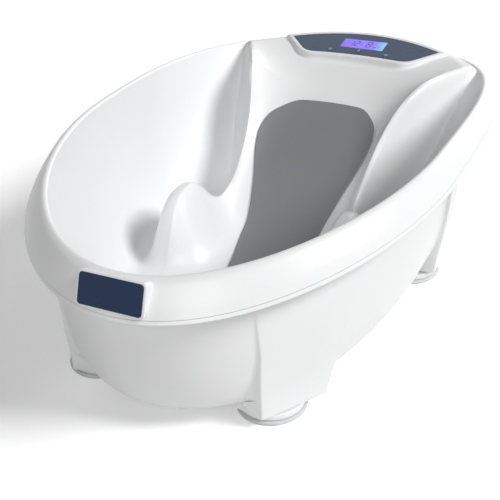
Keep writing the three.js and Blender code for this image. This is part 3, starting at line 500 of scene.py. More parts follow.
belly = grid_onto("casing_skin", closed_round(belly_points()))
merge_and_face(belly, upwards=False)
apply_modifier(belly, "SOLIDIFY", thickness=WALL * MM, offset=-1.0, use_rim=True)
print("belly skin faces:", len(belly.data.polygons))

# %% [markdown]
# The legs are flat panels that flare out of the belly. Each meets it in a soft radius, while its own
# corners stay crisp. A union and a bevel would leave a ragged line on these slow curves. So each leg is a
# loft of rounded polygons, and every point that comes near the belly, or would sink into it, is pushed out
# along the belly's own direction. Where the leg ends it lies on the belly like an apron.

# %% Sizes of the legs
# Corners of each level: inner corner, front flank's end, front crease, rear crease, rear flank's end
FRONT_LEG = {
    14.1: [(72, -256), (68, -317.6), (123.2, -331.5), (170.7, -261), (118, -222)],
    66.0: [(76, -248), (69, -314), (124.4, -332.0), (180.8, -246.8), (134, -212)],
    103.0: [(80, -240), (70, -310), (125, -329.8), (187.4, -237.2), (150, -200)],
    176.0: [(80, -240), (70, -310), (121.3, -331.8), (198.4, -213.0), (150, -195)],
}
REAR_LEG = {
    14.1: [(128, 93), (128, 13.8), (209.4, 21.7), (209.5, 41.3), (168, 93)],
    66.0: [(128, 115), (150, 8), (219, 12.5), (218.7, 44), (185, 120)],
    133.0: [(128, 130), (160, 2), (230.5, 5), (227.2, 50), (200, 145)],
    190.0: [(128, 140), (170, 0), (236, 1), (233, 62), (205, 150)],
}
LEG_ROWS = 46
FLANK_POINTS, FACE_POINTS, CORNER_POINTS = 34, 24, 6
LEG_CORNER = 2.2
LEG_FILLET = 12.0
LEG_SINK = 12.0
SKIN_PROUD, TUCK = 0.12, -1.0
STEM_HOLE = 12.0
print("levels of a front and a rear leg, mm:", list(FRONT_LEG), list(REAR_LEG))

# %% How far a point stands outside the belly
PART_LENGTH = 2000
SLOPE_STEP, LEAST_SLOPE = 2.0, 0.5


def outside_belly(points):
    """How far points stand outside the belly, along the level, in millimetres, worked out part by part."""
    out = np.empty(len(points))
    ax, ay = inset(0.0)
    bx, by = np.roll(ax, -1), np.roll(ay, -1)
    for start in range(0, len(points), PART_LENGTH):
        part = points[start:start + PART_LENGTH]
        px, py = part[:, :1], part[:, 1:2]
        ux, uy = bx - ax, by - ay
        t = np.clip(((px - ax) * ux + (py - ay) * uy) / (ux * ux + uy * uy), 0, 1)
        dx, dy = px - ax - t * ux, py - ay - t * uy
        away = np.hypot(dx, dy)
        k = away.argmin(axis=1)
        rows = np.arange(len(part))
        station_y = ay[k] + t[rows, k] * uy[k]
        edge = np.interp(station_y, np.sort(rim["y"]), rim["edge"][np.argsort(rim["y"])])
        q = np.clip((edge - part[:, 2]) / (edge - belly_floor(part[:, 1])), 0, 1)
        wall = BELLY_INSET + wall_distance(belly_form(station_y), q)
        below = belly_floor(part[:, 1]) - part[:, 2]
        out[start:start + PART_LENGTH] = np.maximum(wall - away[rows, k], below)
    return out


def push_out(points, tucked):
    """Rounds the leg into the belly, lays what would sink into it on its face, and tucks the ends in."""
    flat = points.reshape(-1, 3)
    slope = np.empty_like(flat)
    for axis in range(3):
        ahead, behind = flat.copy(), flat.copy()
        ahead[:, axis] += SLOPE_STEP
        behind[:, axis] -= SLOPE_STEP
        slope[:, axis] = (outside_belly(ahead) - outside_belly(behind)) / (2 * SLOPE_STEP)
    steep = np.maximum(np.linalg.norm(slope, axis=1), LEAST_SLOPE)
    distance = outside_belly(flat) / steep
    wanted = smooth_max(distance, np.full_like(distance, SKIN_PROUD), LEG_FILLET)
    wanted = np.where(tucked.ravel() & (distance < 0), TUCK, wanted)
    moved = flat + slope / steep[:, None] * (wanted - distance)[:, None]
    moved[:, 2] = np.where(flat[:, 2] < BELLY - 1, flat[:, 2], moved[:, 2])
    return moved.reshape(points.shape)


middle = np.array([[0.0, 0.0, 60.0]])
print("depth of the belly's middle inside the casing, mm:", round(float(-outside_belly(middle)[0]), 1))

# %% One level of a leg
PATH_POINTS = 240


def evenly(path, count):
    """Evenly spaced points along a polyline."""
    run = np.concatenate([[0], np.cumsum(np.linalg.norm(np.diff(path, axis=0), axis=1))])
    wanted = np.linspace(0, run[-1], count)
    return np.column_stack([np.interp(wanted, run, path[:, k]) for k in range(path.shape[1])])


def from_belly(path, z):
    """The part of a path that is outside the belly or just under its skin, from the inner end onwards."""
    dense = evenly(path, PATH_POINTS)
    deep = outside_belly(np.column_stack([dense, np.full(len(dense), z)])) < -LEG_SINK
    if not deep.any():
        return path, False
    first = min(np.flatnonzero(deep)[-1] + 1, len(dense) - 2)
    return dense[first:], True


def corner_arc(before, here, after):
    start = here + (before - here) / np.linalg.norm(before - here) * LEG_CORNER
    end = here + (after - here) / np.linalg.norm(after - here) * LEG_CORNER
    t = np.linspace(0, 1, CORNER_POINTS)[:, None]
    return (1 - t) ** 2 * start + 2 * t * (1 - t) * here + t * t * end


def leg_level(corners, z):
    """One level of a leg: front flank, front crease, face, rear crease and rear flank."""
    inner, front_end, front, rear, rear_end = corners
    front_arc = corner_arc(front_end, front, rear)
    rear_arc = corner_arc(front, rear, rear_end)
    front_path, cut_front = from_belly(np.array([inner, front_end, front_arc[0]]), z)
    rear_path, cut_rear = from_belly(np.array([inner, rear_end, rear_arc[-1]]), z)
    ring = np.concatenate([evenly(front_path, FLANK_POINTS)[:-1], front_arc,
                           evenly(np.array([front_arc[-1], rear_arc[0]]), FACE_POINTS)[1:-1], rear_arc,
                           evenly(rear_path, FLANK_POINTS)[::-1][1:]])
    return np.column_stack([ring, np.full(len(ring), z)]), cut_front, cut_rear


# %% A whole leg
SOLE_EDGE, SOLE_RISE = 0.015, 0.6


def leg_points(levels):
    heights = np.array(sorted(levels))
    corners = np.array([levels[z] for z in heights], float)
    rings, tucked = [], []
    for k in range(LEG_ROWS + 1):
        z = heights[0] + (heights[-1] - heights[0]) * k / LEG_ROWS
        at = np.array([[np.interp(z, heights, corners[:, c, axis]) for axis in (0, 1)]
                       for c in range(corners.shape[1])])
        ring, cut_front, cut_rear = leg_level(at, z)
        hide = np.zeros(len(ring), bool)
        hide[0], hide[-1] = cut_front, cut_rear
        if k == LEG_ROWS:
            hide[:] = True
        rings.append(ring)
        tucked.append(hide)
    return push_out(np.stack(rings, axis=1), np.stack(tucked, axis=1))


def make_leg(name, levels, foot, side):
    """A leg with its sole, which has a round hole for the foot's stem."""
    points = leg_points(levels)
    bottom = points[:, 0].copy()
    turn = np.arctan2(bottom[:, 1] - foot[1], bottom[:, 0] - foot[0])
    ring = np.stack([foot[0] + STEM_HOLE * np.cos(turn), foot[1] + STEM_HOLE * np.sin(turn), bottom[:, 2]],
                    axis=-1)
    edge = bottom + (ring - bottom) * SOLE_EDGE
    points[:, 0, 2] += SOLE_RISE
    points = np.concatenate([ring[:, None], edge[:, None], points], axis=1)
    points[:, :, 0] *= side
    leg = grid_onto(name, points)
    merge_and_face(leg, upwards=False)
    apply_modifier(leg, "SOLIDIFY", thickness=WALL * MM, offset=-1.0, use_rim=True)
    return leg


# %% Legs that grow out of the belly
FRONT_FOOT, REAR_FOOT = (112.8, -283.5), (168.0, 43.0)
legs = []
for hand, side in (("right", 1), ("left", -1)):
    legs.append(make_leg("front_leg_" + hand, FRONT_LEG, FRONT_FOOT, side))
    legs.append(make_leg("rear_leg_" + hand, REAR_LEG, REAR_FOOT, side))
print("leg faces:", [len(leg.data.polygons) for leg in legs])

# %% [markdown]
# The belly has an opening for the battery bay and one for the drain, and two rails in which the battery
# door slides. Openings in a curved sheet are cut with a Boolean modifier, which keeps the sheet's own
# faces round the cut. The rails are small blocks with rounded edges, joined to the casing because they are
# moulded on it.

# %% Bay, drain opening and door rails in the belly
BAY_Y, BAY_LENGTH, BAY_WIDTH = 24.0, 58.0, 40.0
DRAIN_Y, DRAIN_HOLE = -250.0, 15.3
DOOR_HALF, DOOR_LOW, GAP = 32.0, 21.8, 0.3
RAIL_LIP, RAIL_WIDTH, RAIL_LENGTH, RAIL_TOP, RAIL_ROUND = 2.2, 3.0, BAY_WIDTH + 4, BELLY + 0.6, 0.3
CUT_LOW, CUT_HEIGHT = BELLY - 6, 14
HOLE_STEPS = 64


def block(name, x, y, low, width, depth, height, bevel=0.0):
    """A box by its middle, its lowest level and its size in millimetres, with rounded edges."""
    deselect()
    bpy.ops.mesh.primitive_cube_add(size=1)
    piece = bpy.context.object
    piece.name = piece.data.name = name
    size = np.array([width, depth, height]) * MM
    middle = np.array([x, y, low + height / 2]) * MM
    for vertex in piece.data.vertices:
        vertex.co = Vector(np.array(vertex.co) * size + middle)
    if bevel > 0:
        apply_modifier(piece, "BEVEL", width=bevel * MM, segments=3)
    return piece


def cut(piece, tool):
    apply_modifier(piece, "BOOLEAN", operation="DIFFERENCE", solver="EXACT", object=tool)
    bpy.data.objects.remove(tool)


def cylinder_tool(x, y, low, high, radius):
    deselect()
    bpy.ops.mesh.primitive_cylinder_add(vertices=HOLE_STEPS, radius=radius * MM, depth=(high - low) * MM)
    tool = bpy.context.object
    for vertex in tool.data.vertices:
        vertex.co += Vector((x, y, (low + high) / 2)) * MM
    return tool


cut(belly, block("bay_tool", 0, BAY_Y, CUT_LOW, BAY_LENGTH, BAY_WIDTH, CUT_HEIGHT))
cut(belly, cylinder_tool(0, DRAIN_Y, CUT_LOW, CUT_LOW + CUT_HEIGHT, DRAIN_HOLE))
rails = []
rail_low = DOOR_LOW - GAP - RAIL_LIP
for side in (1, -1):
    inside = side * (DOOR_HALF + GAP)
    outside = inside + side * RAIL_WIDTH / 2
    for name, x, height in (("rail", outside, RAIL_TOP - rail_low), ("rail_lip", inside, RAIL_LIP)):
        rails.append(block(name, x, BAY_Y, rail_low, RAIL_WIDTH, RAIL_LENGTH, height, RAIL_ROUND))


def joined(target, others):
    only(target)
    for other in others:
        other.select_set(True)
    bpy.ops.object.join()
    return target


joined(belly, legs + rails)
carry(belly, "bath", "outer_casing", 28)
print("casing skin faces:", len(belly.data.polygons))

# %% [markdown]
# The pad is a soft rubber mat that lies in the seat. It follows the seat's own height, so it is drawn as
# rings that shrink from its outline to its middle line, and its edge rolls over in a small radius.

# %% Pad on the seat
PAD_THICKNESS, PAD_GAP = 3.0, 0.4
PAD_EDGE = [(0, 185), (28, 184), (51, 179.5), (68.6, 163), (81, 143), (85.3, 116.5), (82.2, 95), (76, 76),
            (69.3, 57), (63.5, 38), (57.8, 17), (54.5, 0), (53.6, -17), (50, -38), (45, -58), (41, -76),
            (37, -95), (33, -113), (26, -127), (14, -135), (0, -137)]
PAD_POINTS, PAD_RINGS, PAD_CROWDING = 240, 40, 0.9
PAD_SPINE = (-90, 130)
PAD_ROUND, ROUND_STEPS = 1.4, 7
UNDER_SHARE = 0.6
CURVE_STEPS = 12


def seat_height(x, y):
    return smooth_max(pocket_floor(y) - WALL_TOE, bed(x, y), WALL_BLEND)


def on_seat(flat, height=0.0):
    """Points of the plan at a height above the seat's gap."""
    return np.column_stack([flat, seat_height(flat[:, 0], flat[:, 1]) + PAD_GAP + height])


def closed_curve(knots, count):
    """A smooth closed curve through knots, evenly spaced."""
    knots = np.array(knots, float)
    ring = np.concatenate([knots[-2:], knots, knots[:3]])
    dense = rounded_run(ring[:, None, :], CURVE_STEPS)[2 * CURVE_STEPS:-2 * CURVE_STEPS, 0]
    run = np.concatenate([[0], np.cumsum(np.linalg.norm(np.diff(dense, axis=0), axis=1))])
    wanted = np.linspace(0, run[-1], count + 1)[:-1]
    return np.column_stack([np.interp(wanted, run, dense[:, k]) for k in (0, 1)])


def pad_points():
    """Rings from the middle line out over the top, round the edge and back under the pad."""
    left = [(-x, y) for x, y in PAD_EDGE[-2:0:-1]]
    outline = closed_curve(PAD_EDGE + left, PAD_POINTS)
    spine = np.column_stack([np.zeros(PAD_POINTS), np.clip(outline[:, 1], *PAD_SPINE)])
    away = np.linalg.norm(outline - spine, axis=1)
    rings = []
    for share in np.linspace(0, 1, PAD_RINGS) ** PAD_CROWDING:
        flat = spine + (outline - spine) * (share * (1 - PAD_ROUND / away))[:, None]
        rings.append(on_seat(flat, PAD_THICKNESS))
    for turn in np.linspace(0, math.pi / 2, ROUND_STEPS)[1:]:
        reach = 1 - PAD_ROUND * (1 - math.sin(turn)) / away
        flat = spine + (outline - spine) * reach[:, None]
        rings.append(on_seat(flat, PAD_THICKNESS - PAD_ROUND * (1 - math.cos(turn))))
    under = spine + (outline - spine) * UNDER_SHARE
    rings += [on_seat(outline), on_seat(under), on_seat(spine)]
    return np.stack(rings, axis=1)


pad = grid_onto("seat_pad", closed_round(pad_points()))
merge_and_face(pad)
carry(pad, "bath", "backrest_pad", 50)
print("pad faces:", len(pad.data.polygons))

# %% [markdown]
# The console is drawn in its own sloping plane: U runs across the bath, V up the slope and W out of it.
# Its dark lens has a bowed back and front and two points. The white lip round it flows down onto the
# shelf. The lip is a sheet of outlines, each farther out than the last. A ray cast straight down finds the
# shelf under each of its outer points, so it meets the basin all round whatever the slope there.

# %% Console plane and lens outline
CONSOLE_Y, CONSOLE_HEIGHT = 315.0, 206.3
TILT = math.atan(SHELF["slope"])
LENS = {"half": 119.0, "tip": 6.0, "back": 36.0, "front": -35.0, "front_half": 82.0, "thickness": 2.0}
LENS_CORNER = {"reach": 14, "rise": 0.6, "front_bow": 8}
BACK_STEPS, FRONT_STEPS, SIDE_STEPS, CORNER_STEPS = 72, 48, 14, 16
LIP = 7.0


def from_console(points):
    """Turns U, V, W into the bath's own X, Y, Z."""
    points = np.asarray(points, float)
    u, v, w = points[..., 0], points[..., 1], points[..., 2]
    return np.stack([u, CONSOLE_Y + v * math.cos(TILT) - w * math.sin(TILT),
                     CONSOLE_HEIGHT + v * math.sin(TILT) + w * math.cos(TILT)], axis=-1)


def bow(start, control, end, steps):
    t = (np.arange(steps) / steps)[:, None]
    start, control, end = (np.array(p, float) for p in (start, control, end))
    return (1 - t) ** 2 * start + 2 * t * (1 - t) * control + t * t * end


def lens_outline():
    tip = np.array([LENS["half"], LENS["tip"]])
    corner = np.array([LENS["front_half"], LENS["front"]])
    outer = corner + (tip - corner) / np.linalg.norm(tip - corner) * LENS_CORNER["reach"]
    inner = corner + np.array([-LENS_CORNER["reach"], LENS_CORNER["rise"]])
    flip = np.array([-1, 1])
    return np.concatenate([
        bow(tip, (0, 2 * LENS["back"] - LENS["tip"]), tip * flip, BACK_STEPS),
        bow(tip * flip, (tip + outer) / 2 * flip, outer * flip, SIDE_STEPS),
        bow(outer * flip, corner * flip, inner * flip, CORNER_STEPS),
        bow(inner * flip, (0, LENS["front"] + LENS_CORNER["front_bow"]), inner, FRONT_STEPS),
        bow(inner, corner, outer, CORNER_STEPS),
        bow(outer, (tip + outer) / 2, tip, SIDE_STEPS),
    ])


def offset_outline(outline, distance):
    """The outline moved outwards by a distance, with mitred corners."""
    before, after = np.roll(outline, 1, axis=0), np.roll(outline, -1, axis=0)
    a = np.column_stack([outline[:, 1] - before[:, 1], before[:, 0] - outline[:, 0]])
    b = np.column_stack([after[:, 1] - outline[:, 1], outline[:, 0] - after[:, 0]])
    a /= np.linalg.norm(a, axis=1)[:, None]
    b /= np.linalg.norm(b, axis=1)[:, None]
    mitre = a + b
    scale = np.broadcast_to(distance, len(outline)) * 2 / np.maximum((mitre ** 2).sum(axis=1), 1)
    return outline + mitre * scale[:, None]


outline = lens_outline()
print("lens outline points:", len(outline))

# %% Lip that flows down onto the shelf
LIP_KNOTS = [(0.3, -2.4), (0.3, -0.4), (1.1, 0.2), (3, 0.3), (LIP - 2, 0.2), (LIP - 0.6, -0.6),
             (LIP + 0.4, -2.6), (8.2, -5), (9.6, -7.4), (12, -9.8), (15.5, -12), (20, -14)]
LIP_STEPS, LIP_BLEND, LIP_SINK, LIP_WALL = 4, 3, 1.5, 1.6
RAY_HEIGHT = 300.0
LOW_SHELF = 160.0


def shelf_below(x, y):
    """Height of the basin sheet under a point of the plan."""
    start = Vector((x * MM, y * MM, RAY_HEIGHT * MM))
    hit, place, _, _ = basin_sheet.ray_cast(start, Vector((0, 0, -1)))
    return place.z / MM if hit else LOW_SHELF


def lip_points():
    knots = np.array(LIP_KNOTS, float)
    columns = []
    for distance, w in rounded_run(knots[:, None, :], LIP_STEPS)[:, 0]:
        flat = offset_outline(outline, distance)
        place = from_console(np.column_stack([flat, np.full(len(flat), w)]))
        if distance > LIP:
            shelf = np.array([shelf_below(x, y) for x, y in place[:, :2]])
            place[:, 2] = smooth_max(place[:, 2], shelf + SKIN_PROUD, LIP_BLEND)
        columns.append(place)
    last = columns[-1].copy()
    last[:, 2] -= LIP_SINK
    columns.append(last)
    return np.stack(columns, axis=1)


bpy.context.scene.collection.objects.link(basin_sheet)
bpy.context.view_layer.update()
lip = grid_onto("console_lip", closed_round(lip_points()))
bpy.data.objects.remove(basin_sheet)
merge_and_face(lip, upwards=True)
apply_modifier(lip, "SOLIDIFY", thickness=LIP_WALL * MM, offset=-1.0, use_rim=True)
carry(lip, "bath", "inner_tub", 40)
print("lip faces:", len(lip.data.polygons))

# %% [markdown]
# The lens is a thin plate with a polished edge. It is a closed loft of its own outline, so its edge is
# drawn in and no bevel has to follow the two points. The window and the key holes are then cut straight
# through it.

# %% Lens with its window and key holes
DISPLAY = {"width": 68.6, "depth": 28.0, "v": 4.0}
KEYS = {"power": (-45.0, -22.6), "temperature": (0.0, -17.8), "weigh": (45.0, -22.6)}
KEY_RADIUS = 5.2
LENS_EDGE = [(0, -LENS["thickness"]), (0, -0.35), (-0.1, -0.12), (-0.35, 0)]
HOLE_DEPTH = 8


def tilt_into_console(piece):
    """Moves a mesh that was made in U, V, W millimetres to its place."""
    coords = np.empty(len(piece.data.vertices) * 3)
    piece.data.vertices.foreach_get("co", coords)
    placed = from_console(coords.reshape(-1, 3) / MM) * MM
    piece.data.vertices.foreach_set("co", placed.ravel())
    piece.data.update()


def capped_loft(name, shape, rings):
    """A closed piece from offsets of one outline, each at its own height."""
    columns = [np.column_stack([offset_outline(shape, reach), np.full(len(shape), w)]) for reach, w in rings]
    piece = grid_onto(name, closed_round(np.stack(columns, axis=1)))

    def close():
        bpy.ops.mesh.remove_doubles(threshold=FINE_MERGE * MM)
        bpy.ops.mesh.select_all(action="DESELECT")
        bpy.ops.mesh.select_mode(type="EDGE")
        bpy.ops.mesh.select_non_manifold()
        bpy.ops.mesh.edge_face_add()
        bpy.ops.mesh.select_all(action="SELECT")
        bpy.ops.mesh.normals_make_consistent(inside=False)

    in_edit_mode(piece, close)
    return piece


lens = capped_loft("lens", outline, LENS_EDGE)
window = (DISPLAY["width"] + 2 * GAP, DISPLAY["depth"] + 2 * GAP, 2 * HOLE_DEPTH)
cut(lens, block("window_tool", 0, DISPLAY["v"], -HOLE_DEPTH, *window))
for u, v in KEYS.values():
    cut(lens, cylinder_tool(u, v, -HOLE_DEPTH, HOLE_DEPTH, KEY_RADIUS + GAP))
tilt_into_console(lens)
carry(lens, "bath", "lens_panel", 25)
print("lens faces:", len(lens.data.polygons))

# %% [markdown]
# The keys, the feet with their rubber grips, the drain with its plug, and the probe are all round. Each
# comes from a closed profile that is spun round its own axis. Its corners are drawn as small arcs before
# it is spun, so no bevel has to find its way over the thin faces of the finished ring.

# %% Turning
SPIN_STEPS = 72
KEY_SPIN_STEPS, PROBE_SPIN_STEPS = 48, 40
ON_AXIS = 0.01
TRIM_SHARE = 0.45


def turned(name, profile, x=0.0, y=0.0, steps=SPIN_STEPS):
    """Spins a closed profile of (radius, height) about an upright axis through x, y."""
    deselect()
    bpy.ops.mesh.primitive_circle_add(vertices=len(profile), fill_type="NOTHING")
    piece = bpy.context.object
    piece.name = piece.data.name = name
    for vertex, (radius, height) in zip(piece.data.vertices, profile):
        vertex.co = Vector((x + radius, y, height)) * MM

    def steps_of_spin():
        bpy.ops.mesh.spin(steps=steps, angle=2 * math.pi, center=(x * MM, y * MM, 0), axis=(0, 0, 1))

    in_edit_mode(piece, steps_of_spin)
    merge_and_face(piece)
    return piece


def rounded_profile(points, radius=0.5, steps=3):
    """A profile with each corner that lies off the axis drawn as a small arc."""
    points = np.array(points, float)
    out = []
    for i, here in enumerate(points):
        before, after = points[i - 1], points[(i + 1) % len(points)]
        if here[0] < ON_AXIS:
            out.append(here)
            continue
        run_in, run_out = np.linalg.norm(before - here), np.linalg.norm(after - here)
        trim = min(radius, run_in * TRIM_SHARE, run_out * TRIM_SHARE)
        start = here + (before - here) / run_in * trim
        end = here + (after - here) / run_out * trim
        for t in np.linspace(0, 1, steps + 1):
            out.append((1 - t) ** 2 * start + 2 * t * (1 - t) * here + t * t * end)
    return out


# %% Keys
KEY_FLANGE, KEY_UNDER, KEY_STEM, STEM_RADIUS = 5.9, -2.3, -6.2, 2
FLANGE_LOW = KEY_UNDER - 1.2
CAP_EDGE, CAP_MIDDLE, KEY_ROUND = 0.45, 0.3, 0.4
key_profile = rounded_profile([(0, KEY_STEM), (STEM_RADIUS, KEY_STEM), (STEM_RADIUS, FLANGE_LOW),
                               (KEY_FLANGE, FLANGE_LOW), (KEY_FLANGE, KEY_UNDER), (KEY_RADIUS, KEY_UNDER),
                               (KEY_RADIUS, CAP_EDGE), (0, CAP_MIDDLE)], KEY_ROUND)
for name, (u, v) in KEYS.items():
    key = turned(name + "_key", key_profile, u, v, KEY_SPIN_STEPS)
    tilt_into_console(key)
    carry(key, name + "_button_body", name + "_button")
print("keys:", list(KEYS))

# %% Feet and their grips
FOOT_RADIUS, GRIP_RADIUS, GRIP_HEIGHT, DISC_TOP, STEM = 38.5, 41.0, 4.6, 12.4, 9.0
SHADOW_LINE = 1.2
CLIP_LOW, CLIP_HIGH, STEM_TOP = 16.9, 19.1, 21.2
CLIP_DEPTH = 2
HOLLOW_RADIUS, HOLLOW_HEIGHT = 24, 0.9
FOOT_ROUND, GRIP_ROUND, ROUND_PARTS = 1.1, 1.3, 4
foot_profile = rounded_profile([
    (0, GRIP_HEIGHT + GAP), (FOOT_RADIUS - SHADOW_LINE, GRIP_HEIGHT + GAP),
    (FOOT_RADIUS - SHADOW_LINE, GRIP_HEIGHT + SHADOW_LINE), (FOOT_RADIUS, GRIP_HEIGHT + SHADOW_LINE),
    (FOOT_RADIUS, DISC_TOP), (STEM, DISC_TOP), (STEM, CLIP_LOW), (STEM - CLIP_DEPTH, CLIP_LOW),
    (STEM - CLIP_DEPTH, CLIP_HIGH), (STEM, CLIP_HIGH), (STEM - 1, STEM_TOP), (0, STEM_TOP)],
    FOOT_ROUND, ROUND_PARTS)
grip_profile = rounded_profile([
    (0, HOLLOW_HEIGHT), (HOLLOW_RADIUS, HOLLOW_HEIGHT), (HOLLOW_RADIUS + 1, 0), (GRIP_RADIUS, 0),
    (GRIP_RADIUS, GRIP_HEIGHT), (0, GRIP_HEIGHT)], GRIP_ROUND, ROUND_PARTS)
for end, place in (("front", FRONT_FOOT), ("rear", REAR_FOOT)):
    for hand, side in (("right", 1), ("left", -1)):
        corner = end + "_" + hand
        foot = turned("disc_" + corner, foot_profile, side * place[0], place[1])
        carry(foot, "foot_" + corner + "_body", "foot_" + corner)
        grip = turned("grip_" + corner, grip_profile, side * place[0], place[1])
        carry(grip, "foot_" + corner + "_body", "foot_grip_" + corner)
print("foot and grip, mm across:", 2 * FOOT_RADIUS, 2 * GRIP_RADIUS)

# %% Drain and plug
FLOOR_TOP = FLOOR + 0.3
BUSH_TOP = FLOOR_TOP + GAP + 2
BUSH_LOW, BUSH_SLOPE = BELLY - 5, 0.3
DRAIN_TUBE, DRAIN_BORE, DRAIN_FLANGE = 15.0, 12.5, 22.0
PLUG = {"tip": 8, "taper": 1.2, "taper_top": 3, "head": DRAIN_BORE + 4, "head_height": 1.9, "crown": 2.5}
PULL_SIZE, PULL_ROUND = (14, 3, 9), 1.2
DRAIN_ROUND = 0.7
bush = turned("drain_ring", rounded_profile([
    (DRAIN_BORE, BUSH_LOW), (DRAIN_TUBE, BUSH_LOW), (DRAIN_TUBE, FLOOR_TOP + GAP),
    (DRAIN_FLANGE, FLOOR_TOP + GAP), (DRAIN_FLANGE, BUSH_TOP - BUSH_SLOPE), (DRAIN_BORE, BUSH_TOP)],
    DRAIN_ROUND), 0, DRAIN_Y)
carry(bush, "bath", "drain_bush")
plug = turned("plug", rounded_profile([
    (0, FLOOR_TOP - PLUG["tip"]), (DRAIN_BORE - PLUG["taper"], FLOOR_TOP - PLUG["tip"]),
    (DRAIN_BORE - GAP, FLOOR_TOP - PLUG["taper_top"]), (DRAIN_BORE - GAP, BUSH_TOP + GAP),
    (PLUG["head"], BUSH_TOP + GAP), (PLUG["head"], BUSH_TOP + PLUG["head_height"]),
    (0, BUSH_TOP + PLUG["crown"])], DRAIN_ROUND), 0, DRAIN_Y)
pull = block("plug_pull", 0, DRAIN_Y, BUSH_TOP + 1, *PULL_SIZE, PULL_ROUND)
carry(joined(plug, [pull]), "drain_plug_body", "drain_plug")
print("top of the drain's ring, mm:", BUSH_TOP)

# %% Temperature probe
PROBE = {"x": 62.0, "y": -205.0, "radius": 4.0, "rise": 9.0, "low": 6.5, "flange": 7.0, "flange_top": 1.7}
CHAMFER = 0.5
DOME_POINTS = 9
radius, flange_top = PROBE["radius"], FLOOR_TOP + PROBE["flange_top"]
dome_low = FLOOR_TOP + PROBE["rise"] - radius
dome = [(radius * math.cos(turn), dome_low + radius * math.sin(turn))
        for turn in np.linspace(0, math.pi / 2, DOME_POINTS)]
probe_profile = [(0, FLOOR_TOP - PROBE["low"]), (radius, FLOOR_TOP - PROBE["low"]),
                 (radius, FLOOR_TOP + GAP), (PROBE["flange"], FLOOR_TOP + GAP),
                 (PROBE["flange"], flange_top - CHAMFER), (PROBE["flange"] - CHAMFER, flange_top),
                 (radius, flange_top)] + dome
probe = turned("probe_tip", probe_profile, PROBE["x"], PROBE["y"], PROBE_SPIN_STEPS)
carry(probe, "bath", "temperature_probe")
print("probe faces:", len(probe.data.polygons))

# %% [markdown]
# The plate at the foot end sits in a white block that stands off the rim. Both lean back with the band.
# They are closed lofts of a rounded rectangle, made lying flat, where their edges are easy to draw, and
# then stood up on the rim. The plate is left bare.

# %% Plate and its block
PLATE = {"width": 76.0, "height": 34.2, "y": -404.3, "z": 196.0, "lean": 0.375, "corner": 4}
PLATE_EDGE = [(0, -0.9), (0, 0.35), (-0.2, 0.75), (-0.7, 0.95), (-1.6, 1.05)]
BLOCK = {"width": PLATE["width"] + 6, "height": PLATE["height"] + 4, "corner": 5, "back": -2.4, "deepen": 11}
BLOCK_EDGE = [(0, -12), (0, -2), (0, -0.9), (-0.35, -0.15), (-1.1, 0.25), (-2.4, 0.3)]
BEHIND_BLOCK = -5


def rounded_rectangle(width, height, radius, steps=8):
    out = []
    for sx, sy, start in ((1, -1, -90), (1, 1, 0), (-1, 1, 90), (-1, -1, 180)):
        for turn in np.radians(start + np.linspace(0, 90, steps + 1)):
            out.append((sx * (width / 2 - radius) + radius * math.cos(turn),
                        sy * (height / 2 - radius) + radius * math.sin(turn)))
    return np.array(out)


def onto_plate(piece):
    """Stands a mesh made flat up on the foot end, leaning with the band."""
    cos, sin = math.cos(PLATE["lean"]), math.sin(PLATE["lean"])
    for vertex in piece.data.vertices:
        across, up, out = vertex.co / MM
        y, z = -out, up
        vertex.co = Vector((across, PLATE["y"] + y * cos + z * sin, PLATE["z"] - y * sin + z * cos)) * MM


block_shape = rounded_rectangle(BLOCK["width"], BLOCK["height"], BLOCK["corner"])
plate_block = capped_loft("plate_block", block_shape, BLOCK_EDGE)
# The back of the block is cut at a slope, deeper at the top, to meet the rim that leans away from it
for vertex in plate_block.data.vertices:
    if vertex.co.z < BEHIND_BLOCK * MM:
        up_share = vertex.co.y / MM / PLATE["height"] + 0.5
        vertex.co.z = (BLOCK["back"] - BLOCK["deepen"] * up_share) * MM
onto_plate(plate_block)
carry(plate_block, "bath", "inner_tub", 35)
plate_shape = rounded_rectangle(PLATE["width"], PLATE["height"], PLATE["corner"])
plate = capped_loft("plate", plate_shape, PLATE_EDGE)
onto_plate(plate)
carry(plate, "bath", "badge_plate", 35)
print("plate faces:", len(plate.data.polygons))

# %% [markdown]
# The display shows plain figures. A seven-bar digit is seven slim bars, so each digit is a few small
# blocks laid just above the lit glass. The marks on the keys are flat arcs and blocks on the key itself:
# an open ring with a stroke, a thermometer, and a dial with its needle. All are geometry, so they are
# sharp at any size.

# %% Figures on the display
DIGIT_BARS = {"1": "bc", "2": "abged", "8": "abcdefg"}
BAR_PLACES = {"a": (0, 1, "across"), "b": (0.5, 0.5, "up"), "c": (0.5, -0.5, "up"), "d": (0, -1, "across"),
              "e": (-0.5, -0.5, "up"), "f": (-0.5, 0.5, "up"), "g": (0, 0, "across")}
BAR_LOW, BAR_HEIGHT, BAR_ROOM, SLANT = -0.28, 0.1, 0.6, 0.1
# Each digit with its U, its raise above the middle, its width, its height and its stroke
DIGITS = [("1", -20.0, 1, 5.6, 14, 1.3), ("2", -11.0, 1, 5.6, 14, 1.3), ("8", 9.0, 1, 6.4, 16, 1.4)]
# The colon's two dots and the two bars of the unit: U, V, width and depth
DOTS_AND_BARS = [(-3.2, 8, 1.4, 1.4), (-2.8, 2, 1.4, 1.4), (19, -1.5, 5, 1.2), (26, -1.5, 4, 1.2)]


def bar(u, v, width, depth):
    return block("bar", u, v, BAR_LOW, width, depth, BAR_HEIGHT)


def digit(mark, u, raised, width, height, stroke):
    bars = []
    for letter in DIGIT_BARS[mark]:
        across, up, way = BAR_PLACES[letter]
        size = (width - stroke, stroke) if way == "across" else (stroke, height / 2 - stroke * BAR_ROOM)
        rise = up * height / 2
        bars.append(bar(u + across * width + rise * SLANT, DISPLAY["v"] + raised + rise, *size))
    return bars


